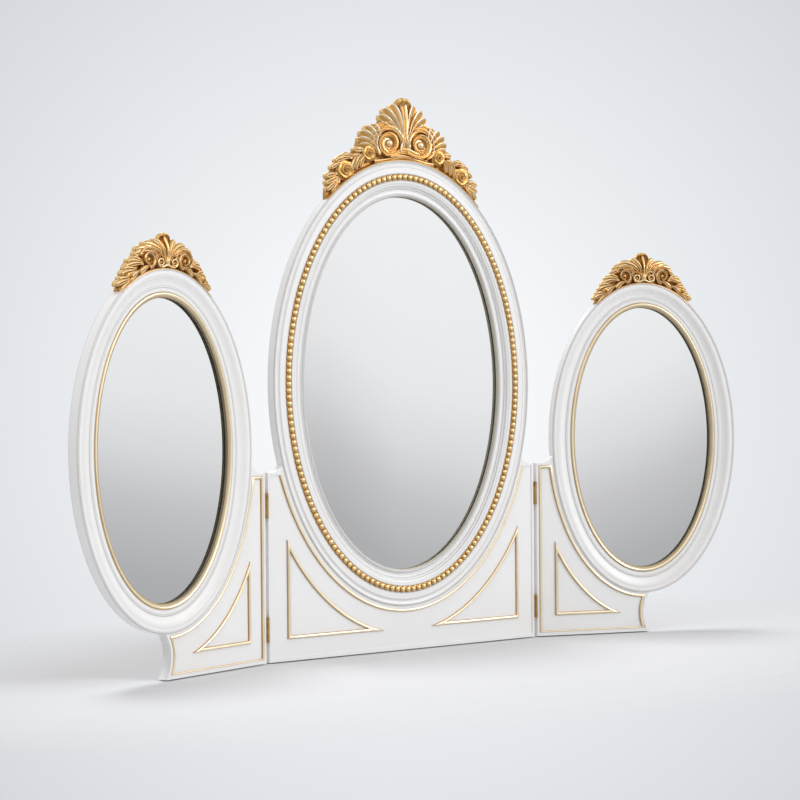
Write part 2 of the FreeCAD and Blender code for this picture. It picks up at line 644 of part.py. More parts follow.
def drilled_frame(frame, oval, dowels, crest_places, buttons):
    """Frame with the holes for its dowels and for the turn buttons' screws."""
    holes = frame_dowels(oval, dowels, DOWEL_PLAY)
    holes += crest_dowels(oval, crest_places, DOWEL_PLAY)
    holes += [screw_hole(screw) for screw, _ in buttons]
    return frame.cut(holes)


def glazing(oval, rebate_inset):
    """Glass and backing board inside a rebate."""
    inset = rebate_inset + GLASS_PLAY
    glass_back = -SIGHT_SEAT - GLASS
    return oval.disc(inset, -SIGHT_SEAT, glass_back), oval.disc(inset, glass_back, glass_back - BACKING)


def pearl_strip():
    """Half-round strip that carries the pearl beading."""
    first, last = PEARL_SEAT
    return raised_bead(centre_oval.wire, first + PEARL_PLAY, last - PEARL_PLAY, PEARL_SEAT_Z, PEARL_HEIGHT)


def centre_gilt_bead():
    """Gilt bead round the centre frame, ending at the rim of the field."""
    def outline(offset, proud):
        return centre_oval.wire(-COLLAR - offset, proud)
    ring = raised_bead(outline, BEAD_WIDTH, BEAD_PLAY, -FIELD_DEPTH, BEAD_HEIGHT)
    field = slab(centre_field(BEAD_PLAY, BEAD_HEIGHT), BEAD_HEIGHT + FIELD_DEPTH)
    return ring.common(field)


def gilt_triangle(oval, side_x, clear, outward):
    outline = triangle(oval, side_x, clear, outward)
    half = BEAD_WIDTH / 2
    return raised_bead(outline, half, -half, -FIELD_DEPTH, BEAD_HEIGHT)


def gilt_slip():
    """Gilt slip of a wing: a moulded ring in front of the glass, with a flange behind the frame's lip."""
    outer = WING_SLIP_INSET - SLIP_FLANGE + SLIP_PLAY
    back = -SIGHT_SEAT
    last_inset, last_proud = SLIP_MOULDING[-1]
    rings = [(WING_SLIP_INSET + SLIP_PLAY, back)] + SLIP_MOULDING + [(last_inset + 1.0, last_proud - 0.5)]
    ring = ruled([wing_oval.wire(inset, proud) for inset, proud in rings])
    flange = wing_oval.disc(outer, WING_LIP_BACK - SLIP_PLAY, back)
    return ring.fuse(flange).cut(wing_oval.disc(WING_SIGHT, 0.0, back - 1)).removeSplitter()


def centre_nodes():
    rebate = CENTRE_SIGHT - REBATE
    buttons = button_places(centre_oval, CENTRE_BUTTONS, rebate)
    frame = moulded_frame(centre_oval, CENTRE_MOULDING, CENTRE_SIGHT, -SIGHT_SEAT, rebate)
    glass, backing = glazing(centre_oval, rebate)
    lobes = PALMETTE_LOBES + CENTRE_LEAVES
    nodes = {
        "centre_base": centre_board(),
        "centre_frame": drilled_frame(frame, centre_oval, CENTRE_DOWELS, CENTRE_CREST_DOWELS, buttons),
        "centre_pearl_beading": pearl_strip(),
        "centre_mirror": glass,
        "centre_backing": backing,
        "centre_turn_buttons": Part.makeCompound([turn_button(*place) for place in buttons]),
        "centre_button_screws": Part.makeCompound([button_screw(screw) for screw, _ in buttons]),
        "centre_gilt_bead": centre_gilt_bead(),
        "centre_crest": crest(centre_oval, CENTRE_CREST_END, CENTRE_CREST_LINE, lobes, CENTRE_ROSES,
                              CENTRE_VOLUTES, PALMETTE_HOOD, CENTRE_CREST_DOWELS),
        "centre_crest_dowels": Part.makeCompound(crest_dowels(centre_oval, CENTRE_CREST_DOWELS)),
        "centre_frame_dowels": Part.makeCompound(frame_dowels(centre_oval, CENTRE_DOWELS))}
    for name, side in (("left", -1), ("right", 1)):
        nodes["centre_triangle_" + name] = gilt_triangle(
            centre_oval, side * CENTRE_TRIANGLE_SIDE, CENTRE_TRIANGLE_CLEAR, side)
    screws = []
    for name, side in (("left", -1), ("right", 1)):
        axis_x = side * HINGE_SPAN / 2
        for level, foot in zip(("lower", "upper"), HINGE_HEIGHTS):
            nodes["%s_%s_hinge_fixed_leaf" % (name, level)] = hinge_leaf(-side, axis_x, foot, 0)
            nodes["%s_%s_hinge_pin" % (name, level)] = hinge_pin(axis_x, foot)
            screws += leaf_screws(-side, axis_x, foot)
    nodes["centre_hinge_screws"] = Part.makeCompound(screws)
    return nodes


def wing_nodes():
    """Pieces of the right wing, flat, with the hinge axis at x = 0."""
    rebate = WING_SLIP_INSET - SLIP_FLANGE
    buttons = button_places(wing_oval, WING_BUTTONS, rebate)
    frame = moulded_frame(wing_oval, WING_MOULDING, WING_SLIP_INSET, WING_LIP_BACK, rebate)
    glass, backing = glazing(wing_oval, rebate)
    screws = []
    nodes = {
        "base": wing_board(),
        "frame": drilled_frame(frame, wing_oval, WING_DOWELS, WING_CREST_DOWELS, buttons),
        "gilt_slip": gilt_slip(),
        "mirror": glass,
        "backing": backing,
        "turn_buttons": Part.makeCompound([turn_button(*place) for place in buttons]),
        "button_screws": Part.makeCompound([button_screw(screw) for screw, _ in buttons]),
        "gilt_bead": raised_bead(wing_field, BEAD_PLAY, BEAD_WIDTH, -FIELD_DEPTH, BEAD_HEIGHT),
        "triangle": gilt_triangle(wing_oval, WING_TRIANGLE_SIDE, WING_TRIANGLE_CLEAR, -1),
        "crest": crest(wing_oval, WING_CREST_END, WING_CREST_LINE, WING_LEAF_LOBES, WING_FLOWERS,
                       WING_VOLUTES, WING_LEAF_HOOD, WING_CREST_DOWELS),
        "crest_dowels": Part.makeCompound(crest_dowels(wing_oval, WING_CREST_DOWELS)),
        "frame_dowels": Part.makeCompound(frame_dowels(wing_oval, WING_DOWELS))}
    for level, foot in zip(("lower", "upper"), HINGE_HEIGHTS):
        nodes["%s_hinge_leaf" % level] = hinge_leaf(1, 0.0, foot, 1)
        screws += leaf_screws(1, 0.0, foot)
    nodes["hinge_screws"] = Part.makeCompound(screws)
    return nodes


def set_on_hinge(shape):
    """Swing a flat right wing forward about its hinge axis and carry it to its place."""
    placed = shape.copy()
    placed.rotate(Vector(0, HINGE_Y, 0), UP, -FOLD_AT_REST)
    placed.translate(Vector(HINGE_SPAN / 2, 0, 0))
    return placed


def main():
    os.makedirs("parts", exist_ok=True)
    nodes = centre_nodes()
    for name, shape in wing_nodes().items():
        right = set_on_hinge(shape)
        nodes["right_wing_" + name] = right
        nodes["left_wing_" + name] = right.mirror(Vector(0, 0, 0), Vector(1, 0, 0))
    for name, shape in nodes.items():
        shape.exportStep("parts/%s.step" % name)
        print("%-28s solids %3d  volume %10.1f  valid %s"
              % (name, len(shape.Solids), shape.Volume, shape.isValid()))
    print(len(nodes), "nodes")


main()
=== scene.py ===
import json
import math

import bmesh
import bpy
import numpy as np
from bpy.props import FloatProperty, FloatVectorProperty, IntProperty, PointerProperty
from mathutils import Matrix, Vector


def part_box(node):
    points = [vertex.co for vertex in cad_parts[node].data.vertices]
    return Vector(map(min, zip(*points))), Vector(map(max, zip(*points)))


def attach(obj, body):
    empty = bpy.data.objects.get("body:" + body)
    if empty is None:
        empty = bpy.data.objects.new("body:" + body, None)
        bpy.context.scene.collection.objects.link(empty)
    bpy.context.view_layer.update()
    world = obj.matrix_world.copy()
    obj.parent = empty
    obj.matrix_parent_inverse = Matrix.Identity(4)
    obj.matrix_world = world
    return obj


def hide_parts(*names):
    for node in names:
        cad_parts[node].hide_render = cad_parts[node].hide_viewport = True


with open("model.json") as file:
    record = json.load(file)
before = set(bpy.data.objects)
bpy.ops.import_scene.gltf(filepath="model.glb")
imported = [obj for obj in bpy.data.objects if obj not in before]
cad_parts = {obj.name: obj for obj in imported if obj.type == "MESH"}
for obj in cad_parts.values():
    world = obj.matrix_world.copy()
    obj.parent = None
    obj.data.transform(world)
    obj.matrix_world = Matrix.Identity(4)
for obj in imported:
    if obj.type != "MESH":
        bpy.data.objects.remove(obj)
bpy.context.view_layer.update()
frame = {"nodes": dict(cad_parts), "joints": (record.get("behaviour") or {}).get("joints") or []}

bl_info = {
    "name": "Folding oval mirror",
    "version": (1, 0, 0),
    "blender": (4, 5, 0),
    "location": "View3D > Sidebar > Mirror",
    "description": "Dresses a three-panel folding mirror with mouldings, pearls, gilding and carved crests",
    "category": "Object",
}

SWING = next(j for j in frame["joints"] if j["child"] == "right_wing")
PANELS = ("centre", "left_wing", "right_wing")
WINGS = PANELS[1:]
base_low, base_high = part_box("centre_base")
frame_low, frame_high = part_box("centre_frame")

# Thickness of the boards, and depth of the glass behind their front, in millimetres
BOARD = 1000 * (base_high.y - base_low.y)
SEAT = 1000 * (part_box("centre_mirror")[0].y - base_low.y)


def millimetres(name, description, default):
    return FloatProperty(name=name, description=description + ", in millimetres", default=default,
                         subtype="DISTANCE_CAMERA")


def degrees(name, description, default):
    return FloatProperty(name=name, description=description, default=math.radians(default), subtype="ANGLE")


def colour(name, description, default):
    return FloatVectorProperty(name=name, description=description, default=default, size=4, subtype="COLOR")


class MirrorSizes(bpy.types.PropertyGroup):
    """Sizes measured on a flat panel from the middle of the board or from its hinge axis."""

    hinge_span: millimetres("Hinge span", "From one hinge axis to the other", 2000 * SWING["pos_m"][0])
    fold: degrees("Fold", "Angle of each wing forward of flat", -SWING["range_deg"][0])
    hinge_depth: millimetres("Hinge depth", "Hinge axis along Y", 1000 * SWING["pos_m"][1])
    board: millimetres("Board", "Thickness of boards and frames", BOARD)
    centre_half_width: millimetres("Centre half width", "Outer half width of the centre oval", 294.0)
    centre_half_height: millimetres(
        "Centre half height", "Outer half height of the centre oval", 500 * (frame_high.z - frame_low.z))
    centre_height: millimetres(
        "Centre oval height", "Middle of the centre oval above the floor", 500 * (frame_high.z + frame_low.z))
    wing_half_width: millimetres("Wing half width", "Outer half width of a wing's oval", 204.0)
    wing_half_height: millimetres("Wing half height", "Outer half height of a wing's oval", 322.0)
    wing_height: millimetres("Wing oval height", "Middle of a wing's oval above the floor", 403.0)
    wing_reach: millimetres("Wing oval reach", "From the hinge axis to the middle of a wing's oval", 242.5)
    base_height: millimetres("Base height", "Height of the boards at the hinges", 354.0)
    edge_gap: millimetres("Edge gap", "From the hinge axis to a board's edge", 3.5)
    pearls: IntProperty(name="Pearls", description="Pearls round the centre frame", default=172, min=24)
    pearl_size: millimetres("Pearl size", "Diameter of a pearl", 12.2)
    softness: millimetres("Softness", "Rounding of the painted arrises", 0.5)


class MirrorFinishes(bpy.types.PropertyGroup):
    """Colours of the finishes."""

    paint: colour("Paint", "White satin paint", (0.86, 0.855, 0.855, 1))
    # Painted shade: this grey darkens the paint in the mouldings' grooves in place of the shade there, with
    # some dirt
    paint_shade: colour("Paint in grooves", "Painted shade in the grooves, with some dirt", (0.5, 0.49, 0.48, 1))
    # Toned leaf and painted shade: the gold of the hollows stands partly for the shade that falls in them
    gold_deep: colour("Gold in hollows", "Toned leaf in the hollows", (0.43, 0.225, 0.068, 1))
    brass: colour("Brass", "Hinges and turn buttons", (0.6, 0.38, 0.13, 1))
    silver: colour("Silvering", "Mirror glass", (0.97, 0.975, 0.98, 1))
    # Dark tone of the rebate, deepened into a painted shadow where the sight edge meets the glass
    lining: colour("Sight lining", "Toned edge between the frame and the glass", (0.1, 0.095, 0.07, 1))
    backing: colour("Backing", "Hardboard behind the glass", (0.3, 0.19, 0.105, 1))


class MirrorStage(bpy.types.PropertyGroup):
    """Camera, light and floor."""

    lens: millimetres("Lens", "Focal length", 81.54)
    camera: FloatVectorProperty(
        name="Camera", description="Camera position in metres", subtype="TRANSLATION", unit="LENGTH",
        default=(-1.9045, -2.9882, 0.5118))
    yaw: degrees("Yaw", "View turned to the right of straight on", 32.41)
    pitch: degrees("Pitch", "View turned down", 0.41)
    roll: degrees("Roll", "View turned about its axis", -0.48)
    ambient: FloatProperty(name="Ambient", description="Light from all round", default=0.35)
    key: FloatProperty(
        name="Key", description="Power of the key lamp in watts", default=274.0, subtype="POWER")
    overhead: FloatProperty(name="Overhead", description="Strength of the light from above", default=1.74)
    floor: colour("Floor", "Floor near the mirror", (0.645, 0.65, 0.665, 1))


def sizes():
    return bpy.context.scene.mirror_sizes


def tint(finish):
    """Colour of a finish as it is set in the panel."""
    return tuple(getattr(bpy.context.scene.mirror_finishes, finish))


# Shading

class Shade:
    """A shader socket that sums can be written with; numbers and sockets mix freely."""

    def __init__(self, tree, socket=None):
        self.tree = tree
        self.socket = socket

    def add(self, kind, settings=None, inputs=None, output=0):
        """Adds a node: its settings first, ramp stops among them, then values or links by socket."""
        node = self.tree.nodes.new(kind)
        for key, value in (settings or {}).items():
            if key == "stops":
                self.set_stops(node.color_ramp, value)
            else:
                setattr(node, key, value)
        for key, value in (inputs or {}).items():
            if isinstance(value, Shade):
                self.tree.links.new(value.socket, node.inputs[key])
            else:
                node.inputs[key].default_value = value
        return Shade(self.tree, node.outputs[output] if len(node.outputs) else None)

    @staticmethod
    def set_stops(ramp, stops):
        while len(ramp.elements) > 1:
            ramp.elements.remove(ramp.elements[-1])
        for k, (place, value) in enumerate(stops):
            stop = ramp.elements[0] if k == 0 else ramp.elements.new(place)
            stop.position = place
            stop.color = value if isinstance(value, tuple) else (value, value, value, 1)

    def maths(self, operation, *values):
        return self.add("ShaderNodeMath", {"operation": operation}, dict(enumerate(values)))

    def __add__(self, other):
        return self.maths("ADD", self, other)

    def __sub__(self, other):
        return self.maths("SUBTRACT", self, other)

    def __rsub__(self, other):
        return self.maths("SUBTRACT", other, self)

    def __mul__(self, other):
        return self.maths("MULTIPLY", self, other)

    def __truediv__(self, other):
        return self.maths("DIVIDE", self, other)

    def __rtruediv__(self, other):
        return self.maths("DIVIDE", other, self)

    __radd__ = __add__
    __rmul__ = __mul__

    def root(self):
        return self.maths("SQRT", self)

    def ramp(self, stops):
        return self.add("ShaderNodeValToRGB", {"stops": stops}, {0: self})

    def mix(self, first, second):
        """Colour between two, with this value as the share of the second."""
        return self.add("ShaderNodeMix", {"data_type": "RGBA"}, {0: self, 6: first, 7: second}, output=2)

    def noise(self, scale, detail=3.0, stretch=(1, 1, 1)):
        """Noise on Object coordinates, as a value about 0.5."""
        place = self.add("ShaderNodeTexCoord", output="Object")
        place = self.add("ShaderNodeMapping", None, {"Vector": place, "Scale": stretch})
        return self.add("ShaderNodeTexNoise", None, {"Vector": place, "Scale": scale, "Detail": detail})

    def attribute(self, name):
        return self.add("ShaderNodeAttribute", {"attribute_name": name}, output=2)

    def bump(self, height, strength, distance):
        return self.add("ShaderNodeBump", None,
                        {"Height": height, "Strength": strength, "Distance": distance})


def new_material(name, build):
    """Material whose Principled shader gets the values and links that build returns."""
    material = bpy.data.materials.get(name)
    if material is not None:
        return material
    material = bpy.data.materials.new(name)
    material.use_nodes = True
    tree = material.node_tree
    tree.nodes.clear()
    shader = Shade(tree).add("ShaderNodeBsdfPrincipled", None, build(Shade(tree)))
    Shade(tree).add("ShaderNodeOutputMaterial", None, {"Surface": shader})
    return material


def paint_material():
    """Satin paint: brush marks, a little unevenness, and painted shade with some settled dirt in the grooves.
    """
    def build(shade):
        brush = shade.noise(90.0, 4.0, (1, 1, 0.12))
        patch = shade.noise(5.0)
        # Painted shade: the groove mask darkens the paint towards paint_shade in hollow corners, with patchy
        # dirt
        groove = shade.attribute("groove")
        dust_and_groove_shade = groove * (0.75 + patch * 0.25)
        worn = patch.ramp([(0.42, tint("paint")), (0.72, (0.835, 0.825, 0.81, 1))])
        return {"Base Color": dust_and_groove_shade.mix(worn, tint("paint_shade")),
                "Roughness": 0.3 + patch * 0.16 + brush * 0.06,
                "Normal": shade.bump(brush * 0.6 + patch * 0.8, 0.12, 0.0006)}
    return new_material("satin_white_paint", build)


# Tones of gold leaf from low to high relief, above the tone of the hollows: painted shade low down and
# painted highlights, up to cream, on the highest parts
LEAF_TONES = [
    (0.33, (0.54, 0.31, 0.1, 1)), (0.6, (0.75, 0.495, 0.2, 1)), (0.83, (0.88, 0.67, 0.36, 1)),
    (0.98, (0.99, 0.93, 0.82, 1))]
LINE_TONES = [(0.3, (0.62, 0.4, 0.16, 1)), (0.6, (0.88, 0.72, 0.46, 1)), (0.95, (0.95, 0.84, 0.63, 1))]


def gold_material(name, wear, tones):
    """Gold leaf over bole: painted highlights on raised forms, toned leaf and painted shade in hollows, with
    worn and mottled patches.
    """
    def build(shade):
        fine = shade.noise(220.0)
        patch = shade.noise(38.0, 4.0)
        relief = shade.attribute("relief")
        # Painted highlight and shade: the colour climbs with relief from the hollows' tone to cream on the
        # highest parts
        height = (relief * 1.15 + (patch - 0.5) * wear).ramp([(0.0, tint("gold_deep"))] + tones)
        wear_and_sheen = patch.ramp([(0.6, 0.0), (0.75, 1.0)])
        return {"Base Color": (wear_and_sheen * 0.25).mix(height, (0.45, 0.2, 0.06, 1)),
                "Metallic": 0.92 - wear_and_sheen * 0.3,
                "Roughness": 0.24 + patch * 0.2 + (1 - relief) * 0.12,
                "Normal": shade.bump(fine * 0.4 + patch * 0.6, 0.08, 0.0005)}
    return new_material(name, build)


def brass_material():
    """Brass with fine drawn lines and slight tarnish."""
    def build(shade):
        lines = shade.noise(900.0, 2.0, (1, 1, 0.05))
        tarnish = shade.noise(60.0, 4.0).ramp([(0.4, 0.0), (0.75, 1.0)])
        return {"Base Color": tarnish.mix(tint("brass"), (0.3, 0.17, 0.05, 1)),
                "Metallic": 1.0,
                "Roughness": 0.26 + tarnish * 0.2 + lines * 0.08,
                "Normal": shade.bump(lines, 0.08, 0.0003)}
    return new_material("hinge_brass", build)


def silver_material():
    """Silvered glass with a faint unevenness of polish."""
    def build(shade):
        haze = shade.noise(3.0, 2.0).ramp([(0.45, 0.0), (0.8, 1.0)])
        return {"Base Color": haze.mix(tint("silver"), (0.95, 0.957, 0.96, 1)),
                "Metallic": 1.0,
                "Roughness": 0.008 + haze * 0.012}
    return new_material("mirror_silvering", build)


def lining_material(name, pale, middle):
    """Sight edge toned with painted shade that deepens to a painted shadow where it meets the glass."""
    def build(shade):
        patch = shade.noise(40.0)
        deep = shade.attribute("deep") + (patch - 0.5) * 0.15
        tone = deep.ramp(
            [(0.0, pale), (0.52, middle), (0.74, tint("lining")), (0.88, (0.02, 0.018, 0.013, 1))])
        return {"Base Color": tone, "Roughness": 0.42 + patch * 0.2}
    return new_material(name, build)


def backing_material():
    """Hardboard: fine fibres, faint press marks and scattered darker flecks."""
    def build(shade):
        fibre = shade.noise(420.0, 4.0, (1, 1, 0.35))
        cloud = shade.noise(14.0, 4.0)
        fleck = shade.noise(160.0, 2.0).ramp([(0.62, 0.0), (0.7, 1.0)])
        tone = (fibre * 0.6 + cloud * 0.6 - 0.1).mix(tint("backing"), (0.42, 0.285, 0.17, 1))
        return {"Base Color": (fleck * 0.5).mix(tone, (0.14, 0.08, 0.04, 1)),
                "Roughness": 0.62 + fibre * 0.2,
                "Normal": shade.bump(fibre, 0.25, 0.0004)}
    return new_material("backing_hardboard", build)


def dowel_material():
    """Beech with long grain."""
    def build(shade):
        grain = shade.noise(240.0, 3.0, (1, 1, 0.06))
        return {"Base Color": grain.mix((0.58, 0.4, 0.24, 1), (0.72, 0.55, 0.36, 1)),
                "Roughness": 0.6 + grain * 0.15}
    return new_material("dowel_beech", build)


def dress(node, material):
    """Gives a CAD node its finish."""
    mesh = frame["nodes"][node].data
    mesh.materials.clear()
    mesh.materials.append(material)


# Surfaces

def to_world(panel, across, proud, height):
    """Panel coordinates in millimetres to the row frame in metres.

    Proud is measured from the board's front face. A wing is turned about its hinge axis by the fold,
    carried to the end of the centre board and, on the left, mirrored.
    """
    s = sizes()
    across, proud, height = np.broadcast_arrays(across, proud, height)
    depth = -s.board / 2 - proud
    if panel == "centre":
        return np.stack([across, depth, height], -1) / 1000
    c, t = math.cos(s.fold), math.sin(s.fold)
    out = across * c + (depth - s.hinge_depth) * t + s.hinge_span / 2
    back = s.hinge_depth - across * t + (depth - s.hinge_depth) * c
    return np.stack([-out if panel == "left_wing" else out, back, height], -1) / 1000


def tube_faces(rows, columns, closed):
    """Quads of a grid whose columns close on themselves, and whose rows do too where closed is true."""
    i = np.arange(rows if closed else rows - 1)[:, None]
    j = np.arange(columns)[None, :]
    after, beside = (i + 1) % rows, (j + 1) % columns
    corners = [i * columns + j, i * columns + beside, after * columns + beside, after * columns + j]
    return np.stack([np.broadcast_to(c, (i.size, columns)) for c in corners], -1).reshape(-1, 4)


def make_piece(name, body, material, tubes, closed=False, replaces=(), crease=38.0):
    """One object from tubes: arrays of shape (rows, columns, 3), with named values for each vertex.

    An open tube is capped at both ends. Normals are turned outwards island by island.
    """
    points, faces, values, start = [], [], {}, 0
    for tube in tubes:
        grid, extra = tube if isinstance(tube, tuple) else (tube, {})
        rows, columns = grid.shape[:2]
        points.append(grid.reshape(-1, 3))
        faces += (tube_faces(rows, columns, closed) + start).tolist()
        if not closed:
            faces.append((np.arange(columns) + start).tolist())
            faces.append((np.arange(columns) + start + (rows - 1) * columns).tolist())
        for key, value in extra.items():
            values.setdefault(key, []).append(np.broadcast_to(value, (rows, columns)).ravel())
        start += rows * columns
    mesh = bpy.data.meshes.new(name)
    mesh.from_pydata(np.concatenate(points), [], faces)
    for key, value in values.items():
        layer = mesh.attributes.new(key, "FLOAT", "POINT")
        layer.data.foreach_set("value", np.concatenate(value).astype(np.float32))
    turned = bmesh.new()
    turned.from_mesh(mesh)
    bmesh.ops.recalc_face_normals(turned, faces=turned.faces)
    turned.to_mesh(mesh)
    turned.free()
    mesh.polygons.foreach_set("use_smooth", np.ones(len(mesh.polygons), bool))
    mesh.set_sharp_from_angle(angle=math.radians(crease))
    mesh.materials.append(material)
    piece = bpy.data.objects.new(name, mesh)
    bpy.context.scene.collection.objects.link(piece)
    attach(piece, body)
    if replaces:
        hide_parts(*replaces)
    return piece


def rounded(corners, radius, steps=4):
    """Closed outline with each corner replaced by a quadratic curve; also tells how hollow each corner is.

    A curve takes no more than a set share of an edge. Hollow grows with the sine of the corner's turn.
    """
    share, gain = 0.42, 1.2
    here = np.array(corners, float)
    before, after = np.roll(here, 1, 0) - here, np.roll(here, -1, 0) - here
    reach_b = np.linalg.norm(before, axis=1, keepdims=True)
    reach_a = np.linalg.norm(after, axis=1, keepdims=True)
    first = here + before * np.minimum(radius / reach_b, share)
    last = here + after * np.minimum(radius / reach_a, share)
    t = np.linspace(0, 1, steps)[None, :, None]
    curve = first[:, None] * (1 - t) ** 2 + here[:, None] * 2 * t * (1 - t) + last[:, None] * t ** 2
    turn = before[:, 0] * after[:, 1] - before[:, 1] * after[:, 0]
    hollow = np.clip(turn / (reach_a * reach_b)[:, 0] * gain, 0, 1)
    weight = np.sin(np.pi * (np.arange(steps) + 0.5) / steps)
    return curve.reshape(-1, 2), (hollow[:, None] * weight).ravel()


def with_groove_shade(profile, hollow, reach, count=150, clear=0.3):
    """Outline with points added along its flats, and a mask of painted shade and dirt that thins out away
    from hollow corners.

    Added points keep clear of the corners' own. The mask falls as the exponential of minus the squared
    distance along the outline, counted in reaches.
    """
    ahead = np.concatenate([profile, profile[:1]])
    run = np.concatenate([[0], np.cumsum(np.linalg.norm(np.diff(ahead, axis=0), axis=1))])
    extra = np.linspace(0, run[-1], count, endpoint=False)
    extra = extra[np.abs(extra[:, None] - run[None, :]).min(1) > clear]
    place = np.sort(np.concatenate([run[:-1], extra]))
    points = np.stack([np.interp(place, run, ahead[:, k]) for k in (0, 1)], 1)
    away = np.abs(place[:, None] - run[None, :-1])
    away = np.minimum(away, run[-1] - away)
    return points, (hollow[None, :] * np.exp(-(away / reach) ** 2)).max(1)


class Oval:
    """Upright ellipse of a panel; an inset shrinks both half sizes by the same amount."""

    def __init__(self, across, height, half_width, half_height):
        self.across, self.height = across, height
        self.half_width, self.half_height = half_width, half_height

    def at(self, turn, inset):
        """Points at a turn from the top, clockwise seen from the front."""
        return (self.across + (self.half_width - inset) * np.sin(turn),
                self.height + (self.half_height - inset) * np.cos(turn))

    def reach(self, height, inset):
        """Half width at a height."""
        share = (height - self.height) / (self.half_height - inset)
        return (self.half_width - inset) * np.sqrt(1 - share ** 2)

    def low(self, across, inset):
        """Height of the lower half."""
        share = (across - self.across) / (self.half_width - inset)
        return self.height - (self.half_height - inset) * np.sqrt(1 - share ** 2)

    def high(self, across, inset):
        """Height of the upper half."""
        return 2 * self.height - self.low(across, inset)


def oval_of(panel):
    s = sizes()
    if panel == "centre":
        return Oval(0.0, s.centre_height, s.centre_half_width, s.centre_half_height)
    return Oval(s.wing_reach, s.wing_height, s.wing_half_width, s.wing_half_height)


def ring(panel, profile, count=288):
    """Closed profile of (inset, proud) carried once round a panel's oval."""
    turn = np.linspace(0, 2 * np.pi, count, endpoint=False)[:, None]
    across, height = oval_of(panel).at(turn, profile[None, :, 0])
    return to_world(panel, across, profile[None, :, 1], height)


# Mouldings as (inset, proud) from the outer back round to the rebate
CENTRE_PROFILE = [
    (0.0, -BOARD), (0.0, 1.2), (1.2, 2.6), (3.2, 2.6), (4.4, 0.4), (8.0, -1.4), (11.6, 0.2), (12.6, 1.0),
    (26.0, 1.0), (26.4, -0.6), (38.6, -0.6), (39.0, 0.8), (45.0, 0.2), (50.5, -2.6), (51.2, -5.4),
    (54.6, -5.8), (55.2, -7.2), (59.0, -8.0), (63.0, -7.4), (64.2, -4.2), (66.5, -2.8), (69.0, -3.6),
    (69.0, -SEAT), (62.0, -SEAT), (62.0, -BOARD)]
WING_PROFILE = [
    (0.0, -BOARD), (0.0, 1.2), (1.2, 2.6), (4.0, 2.6), (5.0, 1.6), (8.0, 1.3), (11.0, 1.6), (14.0, 1.3),
    (17.0, 0.2), (20.0, -1.6), (23.4, -3.5), (27.0, -4.9), (30.4, -5.4), (31.2, -4.6), (34.4, -4.4),
    (35.4, -5.2), (42.4, -5.6), (42.4, -8.0), (36.0, -8.0), (36.0, -BOARD)]
SLIP_PROFILE = [
    (42.55, -5.8), (42.9, -4.7), (44.2, -3.6), (45.8, -3.4), (47.2, -4.0), (48.0, -5.2), (51.0, -7.4),
    (51.0, -SEAT), (36.15, -SEAT), (36.15, -8.15), (42.55, -8.15)]
PEARL_STRIP = [(27.0, -0.58), (27.0, -0.2), (28.4, 0.4), (36.6, 0.4), (38.0, -0.2), (38.0, -0.58)]
# How far the painted shade in a groove reaches along the moulding, in millimetres
GROOVE_SHADE_REACH = 1.3


class MIRROR_OT_frames(bpy.types.Operator):
    """Oval frames: a moulding profile with softened corners carried round each oval"""
    bl_idname = "mirror.frames"
    bl_label = "Oval frames"

    def execute(self, context):
        for panel in PANELS:
            corners = CENTRE_PROFILE if panel == "centre" else WING_PROFILE
            profile, hollow = with_groove_shade(*rounded(corners, sizes().softness), GROOVE_SHADE_REACH)
            make_piece(panel + "_moulded_frame", panel, paint_material(),
                       [(ring(panel, profile), {"groove": hollow[None, :]})], closed=True,
                       replaces=(panel + "_frame",), crease=50.0)
        return {"FINISHED"}


class MIRROR_OT_boards(bpy.types.Operator):
    """Base boards: the solids with painted finish"""
    bl_idname = "mirror.boards"
    bl_label = "Base boards"

    def execute(self, context):
        for panel in PANELS:
            dress(panel + "_base", paint_material())
        return {"FINISHED"}


# Sight edge: three reeds that step down from the frame to the glass, by each corner's inset and its fall in
# treads, and how deep the painted shade is at each corner, round to the band's back: pale treads, dark
# undersides
REED_INSETS = np.array([0.2, 1.4, 0.2, 1.4, 0.2, 1.4, 0.2, 0.2])
REED_FALLS = np.array([0.0, 0.9, 1.1, 2.0, 2.1, 3.0, 3.1, 3.1])
REED_TREAD = 0.24
CENTRE_REED_TONES = np.array([[0.0, 0.3, 0.9, 0.1, 0.9, 0.2, 0.9, 1.0, 1.0, 1.0, 0.0]])
WING_REED_TONES = np.array([[0.0, 0.7, 0.95, 0.55, 0.95, 0.55, 0.95, 1.0, 1.0, 1.0, 0.0]])
GLASS_CLEAR = 0.02

# Where the reeds start, as (inset, proud), and the lip under the slip that takes their place on a wing
CENTRE_SIGHT, WING_SIGHT, WING_LIP = (69.0, -4.3), (51.0, -6.2), (48.1, -5.1)
BAND_LAP, BAND_BACK = 0.1, 0.4


